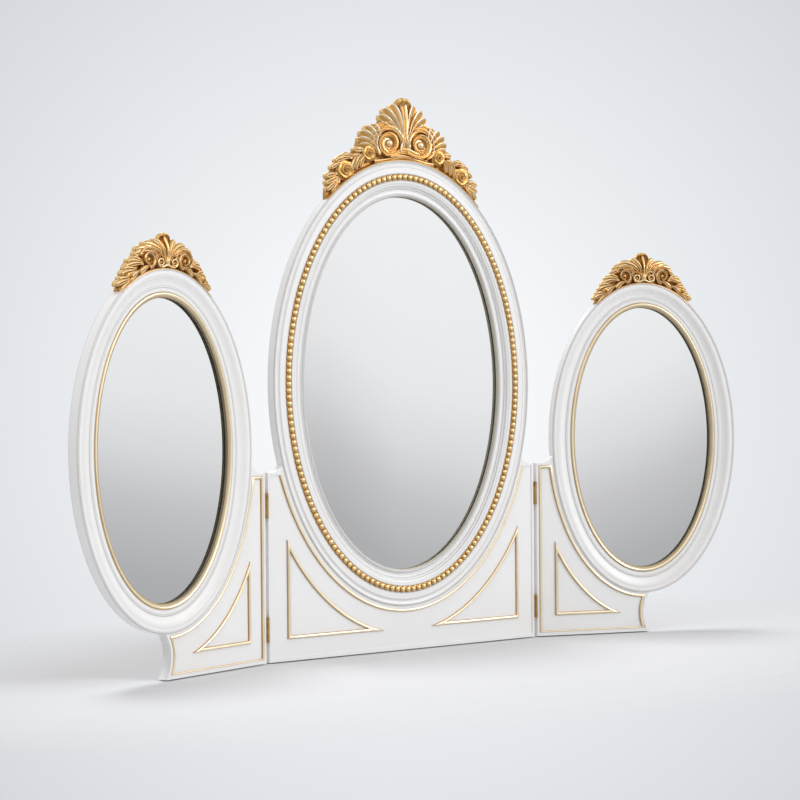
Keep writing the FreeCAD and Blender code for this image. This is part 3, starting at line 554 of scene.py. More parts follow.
class MIRROR_OT_glass(bpy.types.Operator):
    """Mirrors, their backing boards and the edge between frame and glass, toned with painted shade"""
    bl_idname = "mirror.glass"
    bl_label = "Glass and backing"

    def execute(self, context):
        for panel in PANELS:
            dress(panel + "_mirror", silver_material())
            dress(panel + "_backing", backing_material())
            # Painted shade: the centre's edge is white paint toned as if in shade, a wing's is gilt toned the
            # same way
            if panel == "centre":
                tones = CENTRE_REED_TONES
                lining = lining_material("sight_edge_bole", (0.62, 0.58, 0.48, 1), (0.5, 0.465, 0.37, 1))
            else:
                tones = WING_REED_TONES
                lining = lining_material("sight_edge_gilt", (0.6, 0.48, 0.3, 1), (0.45, 0.34, 0.19, 1))
            make_piece(panel + "_sight_edge", panel, lining,
                       [(ring(panel, self.band(panel)), {"deep": tones})], closed=True)
        return {"FINISHED"}

    def band(self, panel):
        """Reeds as (inset, proud), closed behind; a wing's start under the slip."""
        inset, top = CENTRE_SIGHT if panel == "centre" else WING_SIGHT
        inner = inset + REED_INSETS
        steps = top - (top + SEAT) * REED_TREAD * REED_FALLS
        if panel != "centre":
            inner[0], steps[0] = WING_LIP
        foot = GLASS_CLEAR - SEAT
        return np.stack([np.append(inner, [inner[-1], inset - BAND_LAP, inner[0]]),
                         np.append(steps, [foot, foot, steps[0] - BAND_BACK])], 1)


# Gilding, in millimetres

# Section of a bead, and how far outside the centre oval its own bead runs
BEAD_WIDTH, BEAD_HEIGHT, BEAD_BASE = 6.2, 3.6, -2.0
CENTRE_BEAD_CLEAR = 8.5

# Sunk field of a wing: its rim, its distance from the oval and its floor, where the bead is slimmer
FIELD_RIM, FIELD_CLEAR, FIELD_FLOOR = 4.6, 4.0, 7.0
FLOOR_SLIM, FLOOR_POINTS = 0.45, 20

# Triangles: their floor, their upright side and how far their curve stands off the oval, across and up
TRIANGLE_FLOOR = 44.0
CENTRE_TRIANGLE_SIDE, CENTRE_TRIANGLE_CLEAR = 264.0, (43.0, 53.5)
WING_TRIANGLE_SIDE, WING_TRIANGLE_CLEAR = 46.0, (40.8, 53.0)

# Waist of a wing's foot, and how far its tip flares out below
FOOT_WAIST, FOOT_WAIST_HEIGHT, FOOT_FLARE = 239.0, 40.0, 12.0

# Rounding of a slip and the inset of its crest; inset, seat and flatness of the pearls
SLIP_SOFTNESS, SLIP_CREST = 0.5, 43.8
PEARL_INSET, PEARL_SEAT, PEARL_FLAT = 32.5, 0.2, 0.85


def half_round(width, height, base, steps=9):
    """Section of a bead as (offset from its middle, proud): half an ellipse, filled out a little."""
    turn = np.linspace(np.pi, 0, steps)
    return np.stack([width / 2 * np.cos(turn), base + height * np.sin(turn) ** 0.85], 1)


def joined(*runs):
    """Edges of a loop joined end to end, each without its last point."""
    return tuple(np.concatenate([run[axis][:-1] for run in runs]) for axis in (0, 1))


def straight(start, end, count):
    t = np.linspace(0, 1, count)
    return start[0] + (end[0] - start[0]) * t, start[1] + (end[1] - start[1]) * t


def triangle_loop(offset, oval, side, clear, outward):
    """Loop of two straight sides and one along an oval grown by clear, moved outwards by an offset."""
    curve = Oval(oval.across, oval.height, oval.half_width + clear[0], oval.half_height + clear[1])
    across, level = side + outward * offset, TRIANGLE_FLOOR - offset
    upper = (across, curve.low(across, offset))
    tip = (curve.across + outward * curve.reach(level, offset), level)
    along = np.linspace(tip[0], across, 56)
    return joined(straight(upper, (across, level), 14), straight((across, level), tip, 14),
                  (along, curve.low(along, offset)))


def foot_across(height, offset):
    """Hollow outer edge of a wing's foot: a circle through its waist and tip, moved inwards by an offset."""
    radius = (FOOT_FLARE ** 2 + FOOT_WAIST_HEIGHT ** 2) / (2 * FOOT_FLARE)
    return FOOT_WAIST + radius - np.sqrt((radius + offset) ** 2 - (height - FOOT_WAIST_HEIGHT) ** 2)


def wing_field_loop(offset):
    """Middle of the bead along a wing's sunk field: hinge side, top, oval, foot and floor.

    An offset moves it inwards. The place where the oval meets the foot is found by stepping from one to the
    other until it settles.
    """
    s = sizes()
    oval = oval_of("right_wing")
    inwards = offset + BEAD_WIDTH / 2
    edge, inset = FIELD_RIM + inwards, -FIELD_CLEAR - inwards
    side, top = s.edge_gap + edge, s.base_height - edge
    floor = FIELD_FLOOR + FLOOR_SLIM * inwards
    upper = (oval.across - oval.reach(top, inset), top)
    meet = oval.height - oval.half_height
    for _ in range(30):
        meet = oval.low(foot_across(meet, edge), inset)
    along = np.linspace(upper[0], foot_across(meet, edge), 72)
    down = np.linspace(meet, floor, 16)
    return joined(straight((side, floor), (side, top), 24), straight((side, top), upper, 4),
                  (along, oval.low(along, inset)), (foot_across(down, edge), down),
                  straight((foot_across(floor, edge), floor), (side, floor), FLOOR_POINTS))


def bead_relief(section):
    """Painted highlight along the middle of a bead and painted shade along both edges."""
    return {"relief": 1 - np.abs(section[None, :, 0] / section[0, 0]) ** 1.8}


def bead_on_loop(panel, section, loop, *place, slim=0):
    """Bead carried round a loop that is worked out again for each offset, so its corners are mitred.

    The last rows, as many as slim says, stand up half as far.
    """
    columns = [loop(offset, *place) for offset in section[:, 0]]
    across = np.stack([c[0] for c in columns], 1)
    height = np.stack([c[1] for c in columns], 1)
    base = section[:, 1].min()
    rise = np.where(np.arange(len(across)) < len(across) - slim, 1.0, 0.5)[:, None]
    proud = base + (section[None, :, 1] - base) * rise
    return to_world(panel, across, proud, height), bead_relief(section)


class MIRROR_OT_gilt_lines(bpy.types.Operator):
    """Gilt beads, triangles and slips: half-round sections carried along mitred loops"""
    bl_idname = "mirror.gilt_lines"
    bl_label = "Gilt lines"

    def execute(self, context):
        gold = gold_material("gilt_line_leaf", 0.25, LINE_TONES)
        section = half_round(BEAD_WIDTH, BEAD_HEIGHT, BEAD_BASE)
        self.centre_lines(gold, section)
        for panel in WINGS:
            self.wing_lines(gold, section, panel)
        return {"FINISHED"}

    def centre_lines(self, gold, section):
        """Bead round the oval as far up as the board's rim, and a triangle on each side."""
        oval = oval_of("centre")
        top = sizes().base_height - FIELD_RIM
        start = np.arccos((top - oval.height) / (oval.half_height + CENTRE_BEAD_CLEAR))
        turn = np.linspace(start, 2 * np.pi - start, 160)[:, None]
        across, height = oval.at(turn, -CENTRE_BEAD_CLEAR - section[None, :, 0])
        bead = to_world("centre", across, section[None, :, 1], height)
        make_piece("centre_oval_bead", "centre", gold, [(bead, bead_relief(section))],
                   replaces=("centre_gilt_bead",))
        for name, hand in (("left", -1), ("right", 1)):
            triangle = bead_on_loop("centre", section, triangle_loop, oval, hand * CENTRE_TRIANGLE_SIDE,
                                    CENTRE_TRIANGLE_CLEAR, hand)
            make_piece("centre_gilt_triangle_" + name, "centre", gold, [triangle], closed=True,
                       replaces=("centre_triangle_" + name,))

    def wing_lines(self, gold, section, panel):
        """Triangle, bead along the sunk field, and slip, with a painted highlight towards the glass and
        painted shade in its hollow corners.
        """
        triangle = bead_on_loop(panel, section, triangle_loop, oval_of(panel), WING_TRIANGLE_SIDE,
                                WING_TRIANGLE_CLEAR, -1)
        make_piece(panel + "_gilt_triangle", panel, gold, [triangle], closed=True,
                   replaces=(panel + "_triangle",))
        field = bead_on_loop(panel, section, wing_field_loop, slim=FLOOR_POINTS - 1)
        make_piece(panel + "_field_bead", panel, gold, [field], closed=True,
                   replaces=(panel + "_gilt_bead",))
        profile, hollow = rounded(SLIP_PROFILE, SLIP_SOFTNESS)
        # Painted highlight and shade: the slip is paler towards the glass and darker in its hollow corners
        relief = np.clip(0.45 + (profile[:, 0] - SLIP_CREST) * 0.25, 0.4, 1) - hollow * 0.2
        make_piece(panel + "_slip", panel, gold,
                   [(ring(panel, profile), {"relief": relief[None, :]})], closed=True,
                   replaces=(panel + "_gilt_slip",), crease=60.0)


class MIRROR_OT_pearls(bpy.types.Operator):
    """Pearl beading: flattened balls at even steps along the centre frame, on a narrow strip"""
    bl_idname = "mirror.pearls"
    bl_label = "Pearl beading"

    def execute(self, context):
        s = sizes()
        oval = oval_of("centre")
        fine = np.linspace(0, 2 * np.pi, 4001)
        across, height = oval.at(fine, PEARL_INSET)
        run = np.concatenate([[0], np.cumsum(np.hypot(np.diff(across), np.diff(height)))])
        turn = np.interp(np.linspace(0, run[-1], s.pearls, endpoint=False), run, fine)
        across, height = oval.at(turn, PEARL_INSET)
        radius = s.pearl_size / 2
        lat = np.array([-0.9, 0.1, 0.6, 1.0, 1.38])[:, None]
        lon = np.linspace(0, 2 * np.pi, 10, endpoint=False)[None, :]
        full = radius * np.cos(lat) ** 0.85
        level = np.sin(lat) * np.ones_like(lon)
        proud = PEARL_SEAT + PEARL_FLAT * radius * level
        # Painted highlight: each pearl is paler towards its front and darker towards its seat
        relief = {"relief": np.clip(0.2 + 0.5 * level, 0, 1)}
        pearls = [(to_world("centre", x + full * np.cos(lon), proud, z + full * np.sin(lon)), relief)
                  for x, z in zip(across, height)]
        gold = gold_material("gilt_pearl_leaf", 0.3, LEAF_TONES)
        make_piece("centre_pearls", "centre", gold, pearls, crease=80.0,
                   replaces=("centre_pearl_beading",))
        strip, _ = rounded(PEARL_STRIP, 0.3)
        make_piece("centre_pearl_strip", "centre", gold,
                   [(ring("centre", strip), {"relief": 0.3})], closed=True)
        return {"FINISHED"}


# Carving: points along a leaf, points from edge to edge, and the straight cut behind with its tone, a painted
# highlight that keeps the side walls pale

ROWS = 24
EDGE = np.array([0.25, 0.48, 0.66, 0.79, 0.87, 0.94, 0.985, 1.0])
FRONT = np.concatenate([-EDGE[::-1], [0.0], EDGE])[None, :]
BACK = np.array([[1.0, 0.96, -0.96, -1.0]])
# Painted highlight: side walls and back get a pale tone, not one from their height
WALL_RELIEF = np.array([[0.7, 0.45, 0.45, 0.7]])

# Depth of the cut, height of its arris under a leaf, and front and back of the ground, in millimetres
PLATE, ARRIS = -17.0, 0.8
GROUND_FRONT, GROUND_BACK = -8.0, -19.0

# How bright the painted highlight on each kind of form is, where that is less than full
SHINE = {"stem": 0.75, "vein": 0.86, "shell": 0.9}


def envelope(share, root, widest, power):
    """Width of a leaf along its length: swells from its root, then rounds off to its tip."""
    rise = np.clip(share / widest, 0, 1)
    swell = root + (1 - root) * rise * rise * (3 - 2 * rise)
    past = np.clip((share - widest) / (1.004 - widest), 0, 1)
    return swell * (1 - past ** 2) ** power


def crown(kind, v):
    """Section of a leaf from edge to edge, as a share of its rise.

    A flute is hollow between two ridges, a shell climbs to one ridge, a vein swells beside a groove, and any
    other kind is round.
    """
    size = np.abs(v)
    if kind == "flute":
        ridge = 0.86
        inside = 0.24 + 0.76 * (size / ridge) ** 2.2
        outside = np.sqrt(np.clip(1 - ((size - ridge) / (1 - ridge)) ** 2, 0, 1))
        return np.where(size < ridge, inside, outside)
    if kind == "shell":
        ridge = 0.9
        out = (1 + v) / 2
        inside = 0.08 + 0.92 * (np.clip(out, 0, ridge) / ridge) ** 2
        return inside * np.sqrt(np.clip(1 - (np.clip(out - ridge, 0, 1) / (1 - ridge)) ** 2, 0, 1))
    if kind == "vein":
        return (1 - size ** 2.2) * (1 - 0.6 * np.exp(-(v / 0.17) ** 2))
    return np.sqrt(np.clip(1 - v * v, 0, 1))


def carve(path, side, width, rise, floor, kind, scallops=0):
    """Closed ribbon: a crowned section carried along a path of (across, height), cut back to a plate.

    Width, rise and floor are arrays along the path. Scallops nick the edges and ripple the face. The higher a
    place stands above the floor, the brighter its painted highlight.
    """
    share = np.linspace(0, 1, len(width))[:, None]
    half, high, low = width[:, None] / 2, rise[:, None], floor[:, None]
    top = low + high * crown(kind, FRONT)
    if scallops:
        half = half * (0.8 + 0.2 * np.abs(np.cos(np.pi * scallops * share)))
        beat = np.cos(2 * np.pi * (scallops * share - 0.8 * np.abs(FRONT)))
        top = top + 0.1 * high * beat * (1 - FRONT ** 4)
    both = np.concatenate([FRONT, BACK], 1)
    across = path[0][:, None] + side[0][:, None] * half * both
    height = path[1][:, None] + side[1][:, None] * half * both
    plate = np.full_like(low, PLATE)
    proud = np.concatenate([top, low - ARRIS, plate, plate, low - ARRIS], 1)
    # Painted highlight: the higher the crown stands above its floor, the paler the colour
    wear_and_sheen = SHINE.get(kind, 1.0) * (top - low) / (high + 1e-6)
    bright = np.concatenate([wear_and_sheen, WALL_RELIEF + 0 * half], 1)
    return across, proud, height, np.clip(bright, 0, 1)


def leaf(root, bend, tip, width, rise, start, end, kind="flute", swell=(0.4, 0.75, 0.5), scallops=0):
    """Leaf along a quadratic curve from root to tip, with one depth at its root and another at its tip."""
    t = np.linspace(0, 0.99, ROWS)
    a, b, c = (1 - t) ** 2, 2 * t * (1 - t), t ** 2
    path = [a * root[k] + b * bend[k] + c * tip[k] for k in (0, 1)]
    run = [2 * (1 - t) * (bend[k] - root[k]) + 2 * t * (tip[k] - bend[k]) for k in (0, 1)]
    size = np.hypot(*run)
    wide = envelope(t, *swell)
    body = 0.45 + 0.55 * np.sin(np.pi * np.clip(t * 0.9 + 0.06, 0, 1))
    high = rise * body * np.clip(wide * 1.6, 0.25, 1)
    return carve(path, (-run[1] / size, run[0] / size), width * wide, high,
                 start + (end - start) * t ** 1.4, kind, scallops)


def fan(root, tips, width, rise, start, end):
    """Leaves that spread from one root, each arched a little on its way to its tip."""
    made = []
    for tip in tips:
        run = (tip[0] - root[0], tip[1] - root[1])
        bend = (root[0] + 0.5 * run[0], root[1] + 0.5 * run[1] + 0.2 * math.hypot(*run))
        made.append(leaf(root, bend, tip, width, rise, start, end, "vein", (0.35, 0.7, 0.5)))
    return made


def spiral(centre, radii, turns, width, rise, floor, kind="flute", rows=60, taper=0.35, fall=0.0):
    """Band round a centre: its turn changes evenly and its radius almost so; it narrows and falls back."""
    t = np.linspace(0, 1, rows)
    angle = np.radians(turns[0] + (turns[1] - turns[0]) * t)
    radius = radii[0] + (radii[1] - radii[0]) * t ** 0.9
    path = [centre[0] + radius * np.cos(angle), centre[1] + radius * np.sin(angle)]
    ends = np.clip(np.minimum(t, 1 - t) * 12 + 0.35, 0.35, 1) ** 0.6
    return carve(path, (np.cos(angle), np.sin(angle)), width * (1 - taper * t) * ends, rise * ends,
                 floor - fall * t, kind)


def wave(points, width, rise, floor, kind="flute"):
    """Band along a cubic curve of four control points."""
    t = np.linspace(0, 1, ROWS)
    blend = np.stack([(1 - t) ** 3, 3 * t * (1 - t) ** 2, 3 * t * t * (1 - t), t ** 3], 1)
    slope = np.stack([-3 * (1 - t) ** 2, 3 * (1 - t) * (1 - 3 * t), 3 * t * (2 - 3 * t), 3 * t * t], 1)
    path = blend @ np.array(points, float)
    run = slope @ np.array(points, float)
    size = np.hypot(run[:, 0], run[:, 1])
    return carve(path.T, (-run[:, 1] / size, run[:, 0] / size), np.full(ROWS, width), np.full(ROWS, rise),
                 np.full(ROWS, floor), kind)


def boss(centre, radius, front, back, glow=0.5):
    """Domed boss: rings that shrink to its top along a quarter ellipse.

    Glow tells how bright the painted highlight on its top is.
    """
    lat = np.linspace(0.02, 1, 9)[:, None] * np.pi / 2
    lon = np.linspace(0, 2 * np.pi, 32, endpoint=False)[None, :]
    across = centre[0] + radius * np.sin(lat) * np.cos(lon)
    height = centre[1] + radius * np.sin(lat) * np.sin(lon)
    proud = back + (front - back) * np.cos(lat) * np.ones_like(lon)
    return across, proud, height, np.broadcast_to(np.clip(0.3 + glow * np.cos(lat), 0, 1), across.shape)


def hood(points, half, drop):
    """Hood over the top of a crest: a closed side view that curls forward, carried from end to end.

    It shrinks and drops towards both ends, and its front is rippled by a cosine across it.
    """
    side, _ = rounded(points, 3.0)
    b = np.sin(np.linspace(-1, 1, 35) * np.pi / 2)[:, None]
    size = 0.3 + 0.7 * np.sqrt(np.clip(1 - b ** 6, 0, 1))
    root = np.array([side[:, 0].min() + 2.0, side[:, 1].min()])
    ripple = 0.8 * np.cos(b * 4.0 * np.pi) * size
    facing = np.clip((side[:, 0] - side[:, 0].mean()) / np.ptp(side[:, 0]) * 3, 0, 1)[None, :]
    front = root[0] + (side[None, :, 0] - root[0]) * size + ripple * facing
    rise = root[1] + (side[None, :, 1] - root[1]) * size - drop * b * b
    level = (side[None, :, 1] - side[:, 1].min()) / np.ptp(side[:, 1])
    # Painted highlight: paler towards the top and on the front of the ripples
    bright = np.clip(0.2 + 0.3 * level ** 3 + 0.2 * ripple * facing, 0, 1)
    return half * b * (0.72 + 0.28 * level), front, rise, bright


def rose(centre, radius, floor, rise):
    """Rose: a dome with a five-lobed rim, stepped along a spiral of petal edges that winds into its bud.

    A petal climbs outwards to its edge and then drops, so each lies over the one outside it.
    """
    edge = 0.82
    share = np.linspace(0.05, 1, 34)[:, None]
    turn = np.linspace(0, 2 * np.pi, 60, endpoint=False)[None, :]
    wind = 3.3 * share ** 0.8 - turn / (2 * np.pi) + 0.1 * share * np.sin(5 * turn)
    step = wind - np.floor(wind)
    fall = np.sqrt(np.clip(1 - ((step - edge) / (1 - edge)) ** 2, 0, 1))
    petal = np.where(step < edge, (step / edge) ** 1.6, fall)
    size = radius * share * (0.93 + 0.1 * share * np.abs(np.cos(2.5 * turn)))
    proud = floor + rise * (0.66 * (1 - share ** 2.2) + 0.34 * petal * (1 - 0.4 * share))
    size = np.concatenate([size, size[-1:] * 0.98])
    proud = np.concatenate([proud, np.full((1, turn.size), floor - 6.0)])
    # Painted highlight on the petal edges, and painted shade on the rim turned under the rose
    bright = np.concatenate([0.04 + 0.5 * petal * (1 - 0.25 * share), np.zeros((1, turn.size))])
    return centre[0] + size * np.cos(turn), proud, centre[1] + size * np.sin(turn), bright


def ground(oval, end, line, lap):
    """Ground behind the carving: its foot laps the frame's edge, its top follows a line above it."""
    across = np.linspace(-end, end, 120)[:, None]
    places = np.array(line, float)
    rise = np.maximum(np.interp(np.abs(across), places[:, 0], places[:, 1]), 0.8)
    foot = oval.high(oval.across + across, lap)
    lip = np.minimum(2.0, 0.3 * rise)
    height = foot + np.concatenate([0 * rise, 0 * rise, lip, 2 * lip, 0.9 * rise, rise, rise], 1)
    proud = np.array([[GROUND_BACK, 3.2, 2.8, GROUND_FRONT, GROUND_FRONT, GROUND_FRONT - 1.6, GROUND_BACK]])
    # Painted shade and highlight: darkest on the front behind the carving, paler on the lip of its foot
    bright = np.array([[0.0, 0.4, 0.2, 0.0, 0.0, 0.1, 0.3]])
    return oval.across + across + 0 * height, proud + 0 * height, height, bright + 0 * height


# Crests in millimetres from their middle and from the top of the frame. A leaf is given by its root, bend and
# tip, its width and rise, and how proud it lies at its root and at its tip

# Centre crest
PALMETTE = [
    ((13.0, 34.0), (22.0, 62.0), (54.0, 69.0), 13.0, 6.5, -1.5, -4.0),
    ((11.0, 31.0), (16.0, 66.0), (54.0, 84.0), 16.0, 7.0, 0.0, -4.0),
    ((8.5, 29.0), (12.0, 72.0), (45.0, 98.0), 17.0, 7.5, 1.5, -4.0),
    ((5.5, 28.0), (8.0, 78.0), (27.0, 108.0), 17.0, 7.5, 3.0, -4.0)]
SIDE_LEAVES = [
    ((54.0, 26.0), (60.0, 54.0), (70.0, 67.0), 16.0, 7.0, -2.0, -4.0),
    ((58.0, 24.0), (68.0, 50.0), (86.0, 61.0), 17.0, 7.0, -2.0, -4.0),
    ((60.0, 22.0), (75.0, 43.0), (97.0, 50.0), 17.0, 7.0, -1.5, -4.0),
    ((62.0, 20.0), (80.0, 33.0), (102.0, 36.0), 16.0, 7.0, -1.0, -4.0),
    ((64.0, 16.0), (82.0, 24.0), (100.0, 24.0), 14.0, 6.5, -1.0, -4.0)]
LOW_LEAVES = [
    ((84.0, 8.0), (97.0, 20.0), (112.0, 13.0), 15.0, 6.0, -1.0, -4.0),
    ((90.0, 0.0), (103.0, 8.0), (117.0, -1.0), 14.0, 6.0, -2.0, -4.0),
    ((108.0, -4.0), (124.0, 9.0), (140.0, -2.0), 13.0, 7.0, -3.0, -4.0),
    ((114.0, -4.0), (134.0, 3.0), (153.0, -11.0), 14.0, 7.0, -2.0, -4.0),
    ((130.0, -17.0), (148.0, -9.0), (162.0, -25.0), 12.0, 6.0, -3.0, -4.0)]
BLADES = [
    ((86.0, 2.0), (97.0, 4.0), (99.0, -20.0), 13.0, 8.0, -1.0, -3.0),
    ((93.0, 4.0), (108.0, 6.0), (109.0, -25.0), 13.0, 8.0, -1.0, -3.0),
    ((100.0, 2.0), (118.0, 2.0), (118.0, -31.0), 12.0, 8.0, -2.0, -3.0)]
END_SPRAY = [
    ((144.0, -34.0), (158.0, -33.0), (174.0, -41.0), 14.0, 6.0, -4.0, -4.0),
    ((145.0, -38.0), (160.0, -43.0), (174.0, -54.0), 13.0, 6.0, -3.0, -4.0),
    ((146.0, -42.0), (159.0, -51.0), (172.0, -67.0), 13.0, 6.0, -3.0, -4.0),
    ((142.0, -42.0), (152.0, -53.0), (162.0, -71.0), 11.0, 6.0, -3.0, -4.0)]

# Grounds as (distance from the middle, height above the frame's edge)
CENTRE_LINE = [
    (0, 100), (28, 100), (44, 92), (52, 80), (58, 72), (72, 76), (86, 72), (97, 66), (103, 52), (108, 45),
    (118, 44), (128, 50), (140, 52), (153, 47), (162, 41), (170, 28), (173, 14)]
WING_LINE = [
    (0, 50), (20, 47), (34, 42), (50, 38), (62, 34), (73, 28), (84, 27), (92, 21), (98, 16),
    (104, 8), (106, 4)]

# Side views of the hoods as (proud, height)
CENTRE_HOOD = [
    (-9.0, 82.0), (-8.0, 95.0), (-6.0, 104.0), (-2.0, 111.0), (2.5, 115.0), (3.0, 118.5), (-2.0, 122.5),
    (-10.0, 123.0), (-16.0, 117.0), (-18.0, 104.0), (-18.0, 86.0)]
WING_HOOD = [
    (-11.0, 36.0), (-10.5, 45.0), (-9.0, 51.0), (-5.0, 56.0), (-2.0, 58.0), (-2.0, 60.0), (-6.0, 62.0),
    (-12.0, 62.0), (-16.0, 58.0), (-17.5, 50.0), (-17.5, 38.0)]

# Wing crest, with its fans by their root, their tips and the width of their leaves
ACANTHUS = [
    ((23.0, 19.0), (41.0, 33.0), (69.0, 18.0), 14.0, 6.0, -2.0, -8.0),
    ((13.0, 15.0), (27.0, 37.0), (65.0, 28.0), 15.0, 6.5, -1.0, -7.0),
    ((8.0, 12.0), (14.0, 40.0), (49.0, 39.0), 15.0, 7.0, 1.0, -6.0),
    ((4.0, 10.0), (5.0, 38.0), (25.0, 48.0), 14.0, 7.0, 3.0, -5.0)]
WING_FANS = [
    ((54.0, 3.0), ((73.0, 14.0), (84.0, 7.0), (89.0, -3.0)), 11.5),
    ((68.0, -10.0), ((92.0, -6.0), (98.0, -16.0), (96.0, -26.0)), 11.0),
    ((83.0, -25.0), ((103.0, -25.0), (110.0, -36.0), (101.0, -48.0)), 11.5)]
WING_BLADES = [
    ((38.0, 2.0), (52.0, 1.0), (61.0, -14.0), 12.0, 6.0, 1.5, 0.0),
    ((62.0, -8.0), (74.0, -10.0), (84.0, -27.0), 12.0, 6.0, 2.0, 0.0)]


def centre_half_carving():
    """Right half of the centre crest: palmette, volute, stems, leaves and roses, going outwards."""
    eye = (36.0, 31.0)
    made = [leaf(*row, kind="shell", swell=(0.3, 0.84, 0.5)) for row in PALMETTE]
    made += [boss(eye, 27.0, 1.5, -14.0),
             spiral(eye, (21.5, 12.5), (-95, 345), 11.0, 6.5, 0.5, taper=0.5),
             boss(eye, 8.0, 9.0, 0.0),
             wave([(0.0, 18.0), (13.0, 18.0), (19.0, 10.0), (34.5, 10.0)], 11.0, 6.0, 0.5),
             wave([(0.0, 8.0), (18.0, 8.0), (30.0, -3.0), (68.0, -5.0)], 10.0, 4.0, -2.0, "vein"),
             spiral(eye, (29.0, 30.5), (200, -52), 10.0, 6.0, 1.0, taper=0.15, fall=4.0),
             spiral(eye, (37.0, 38.5), (192, -34), 10.0, 6.0, -1.0, taper=0.15, fall=4.0)]
    made += [leaf(*row, kind="shell", swell=(0.4, 0.7, 0.5)) for row in SIDE_LEAVES[::-1]]
    made += [leaf(*row, kind="vein", scallops=3) for row in LOW_LEAVES]
    made += [leaf(*row, kind="vein") for row in BLADES]
    made += [leaf(*row, kind="vein", scallops=2) for row in END_SPRAY]
    return made + [rose((80.0, 9.0), 16.0, -2.0, 10.0), rose((133.0, -26.0), 20.0, -3.0, 12.0)]


def wing_half_carving():
    """Right half of a wing's crest: acanthus, two scrolls, fans of leaves and a rose, going outwards."""
    eye, scroll = (15.5, 8.5), (42.0, 13.0)
    made = [leaf(*row, kind="vein", swell=(0.3, 0.8, 0.5)) for row in ACANTHUS]
    made += [spiral(eye, (7.6, 4.4), (-95, 330), 4.8, 4.5, 2.0, "stem", taper=0.4),
             boss(eye, 8.6, 2.6, -12.0, 0.15),
             boss(eye, 2.8, 5.0, -1.0, 0.4),
             wave([(0.0, 4.6), (4.6, 4.6), (7.0, 0.9), (15.0, 0.8)], 4.8, 4.0, 2.0, "stem"),
             spiral(eye, (12.0, 13.5), (200, 10), 6.0, 5.0, 0.5, "vein", taper=0.2),
             spiral(scroll, (15.0, 6.5), (262, -110), 8.0, 6.5, 1.0, "vein"),
             spiral(scroll, (21.0, 18.0), (205, 15), 7.0, 5.5, -1.0, "vein", taper=0.3),
             boss(scroll, 14.0, -1.0, -14.0, 0.1),
             boss(scroll, 4.2, 4.5, -3.0, 0.35)]
    for row in WING_FANS:
        made += fan(*row, 6.0, 1.0, -6.0)
    made += [leaf(*row, kind="vein") for row in WING_BLADES]
    return made + [rose((86.0, -20.0), 7.5, 1.0, 7.0)]


def middle_carving(foot, top, width, flare, kind):
    """Stem up the middle of a crest: a narrow blade above and a foot that spreads below."""
    middle = foot + (top - foot) * 0.35
    return [leaf((0.0, middle - 4), (0.0, (middle + top) / 2), (0.0, top), width, 7.5, 3.5, -8.0, kind,
                 (0.5, 0.92, 0.5)),
            leaf((0.0, middle), (0.0, (middle + foot) / 2), (0.0, foot), flare, 5.5, 3.5, 1.5, kind,
                 (0.32, 0.96, 0.35))]


class MIRROR_OT_crests(bpy.types.Operator):
    """Carved crests: palmette, volutes, roses and leaves, each a crowned section carried along a curve"""
    bl_idname = "mirror.crests"
    bl_label = "Carved crests"

    def execute(self, context):
        gold = gold_material("gilt_carving_leaf", 0.16, LEAF_TONES)
        for panel in PANELS:
            oval = oval_of(panel)
            if panel == "centre":
                half = centre_half_carving()
                middle = middle_carving(17.0, 114.0, 16.0, 24.0, "flute") + [hood(CENTRE_HOOD, 22.0, 9.0)]
                back = ground(oval, 173.0, CENTRE_LINE, 0.4)
            else:
                half = wing_half_carving()
                middle = middle_carving(2.0, 56.0, 7.0, 13.0, "stem") + [hood(WING_HOOD, 15.5, 5.0)]
                back = ground(oval, 105.0, WING_LINE, 2.4)
            top = oval.height + oval.half_height
            forms = [(oval.across + x, p, z + top, r) for x, p, z, r in half + middle]
            forms += [(oval.across - x, p, z + top, r) for x, p, z, r in half]
            tubes = [(to_world(panel, x, p, z), {"relief": r}) for x, p, z, r in forms + [back]]
            make_piece(panel + "_carving", panel, gold, tubes,
                       replaces=(panel + "_crest",), crease=70.0)
        return {"FINISHED"}


class MIRROR_OT_hardware(bpy.types.Operator):
    """Brass hinges, turn buttons and screws, and the dowels inside the joints"""
    bl_idname = "mirror.hardware"
    bl_label = "Hinges and fastenings"

    def execute(self, context):
        for node in frame["nodes"]:
            if "hinge" in node or "button" in node:
                dress(node, brass_material())
            if node.endswith("dowels"):
                dress(node, dowel_material())
        return {"FINISHED"}


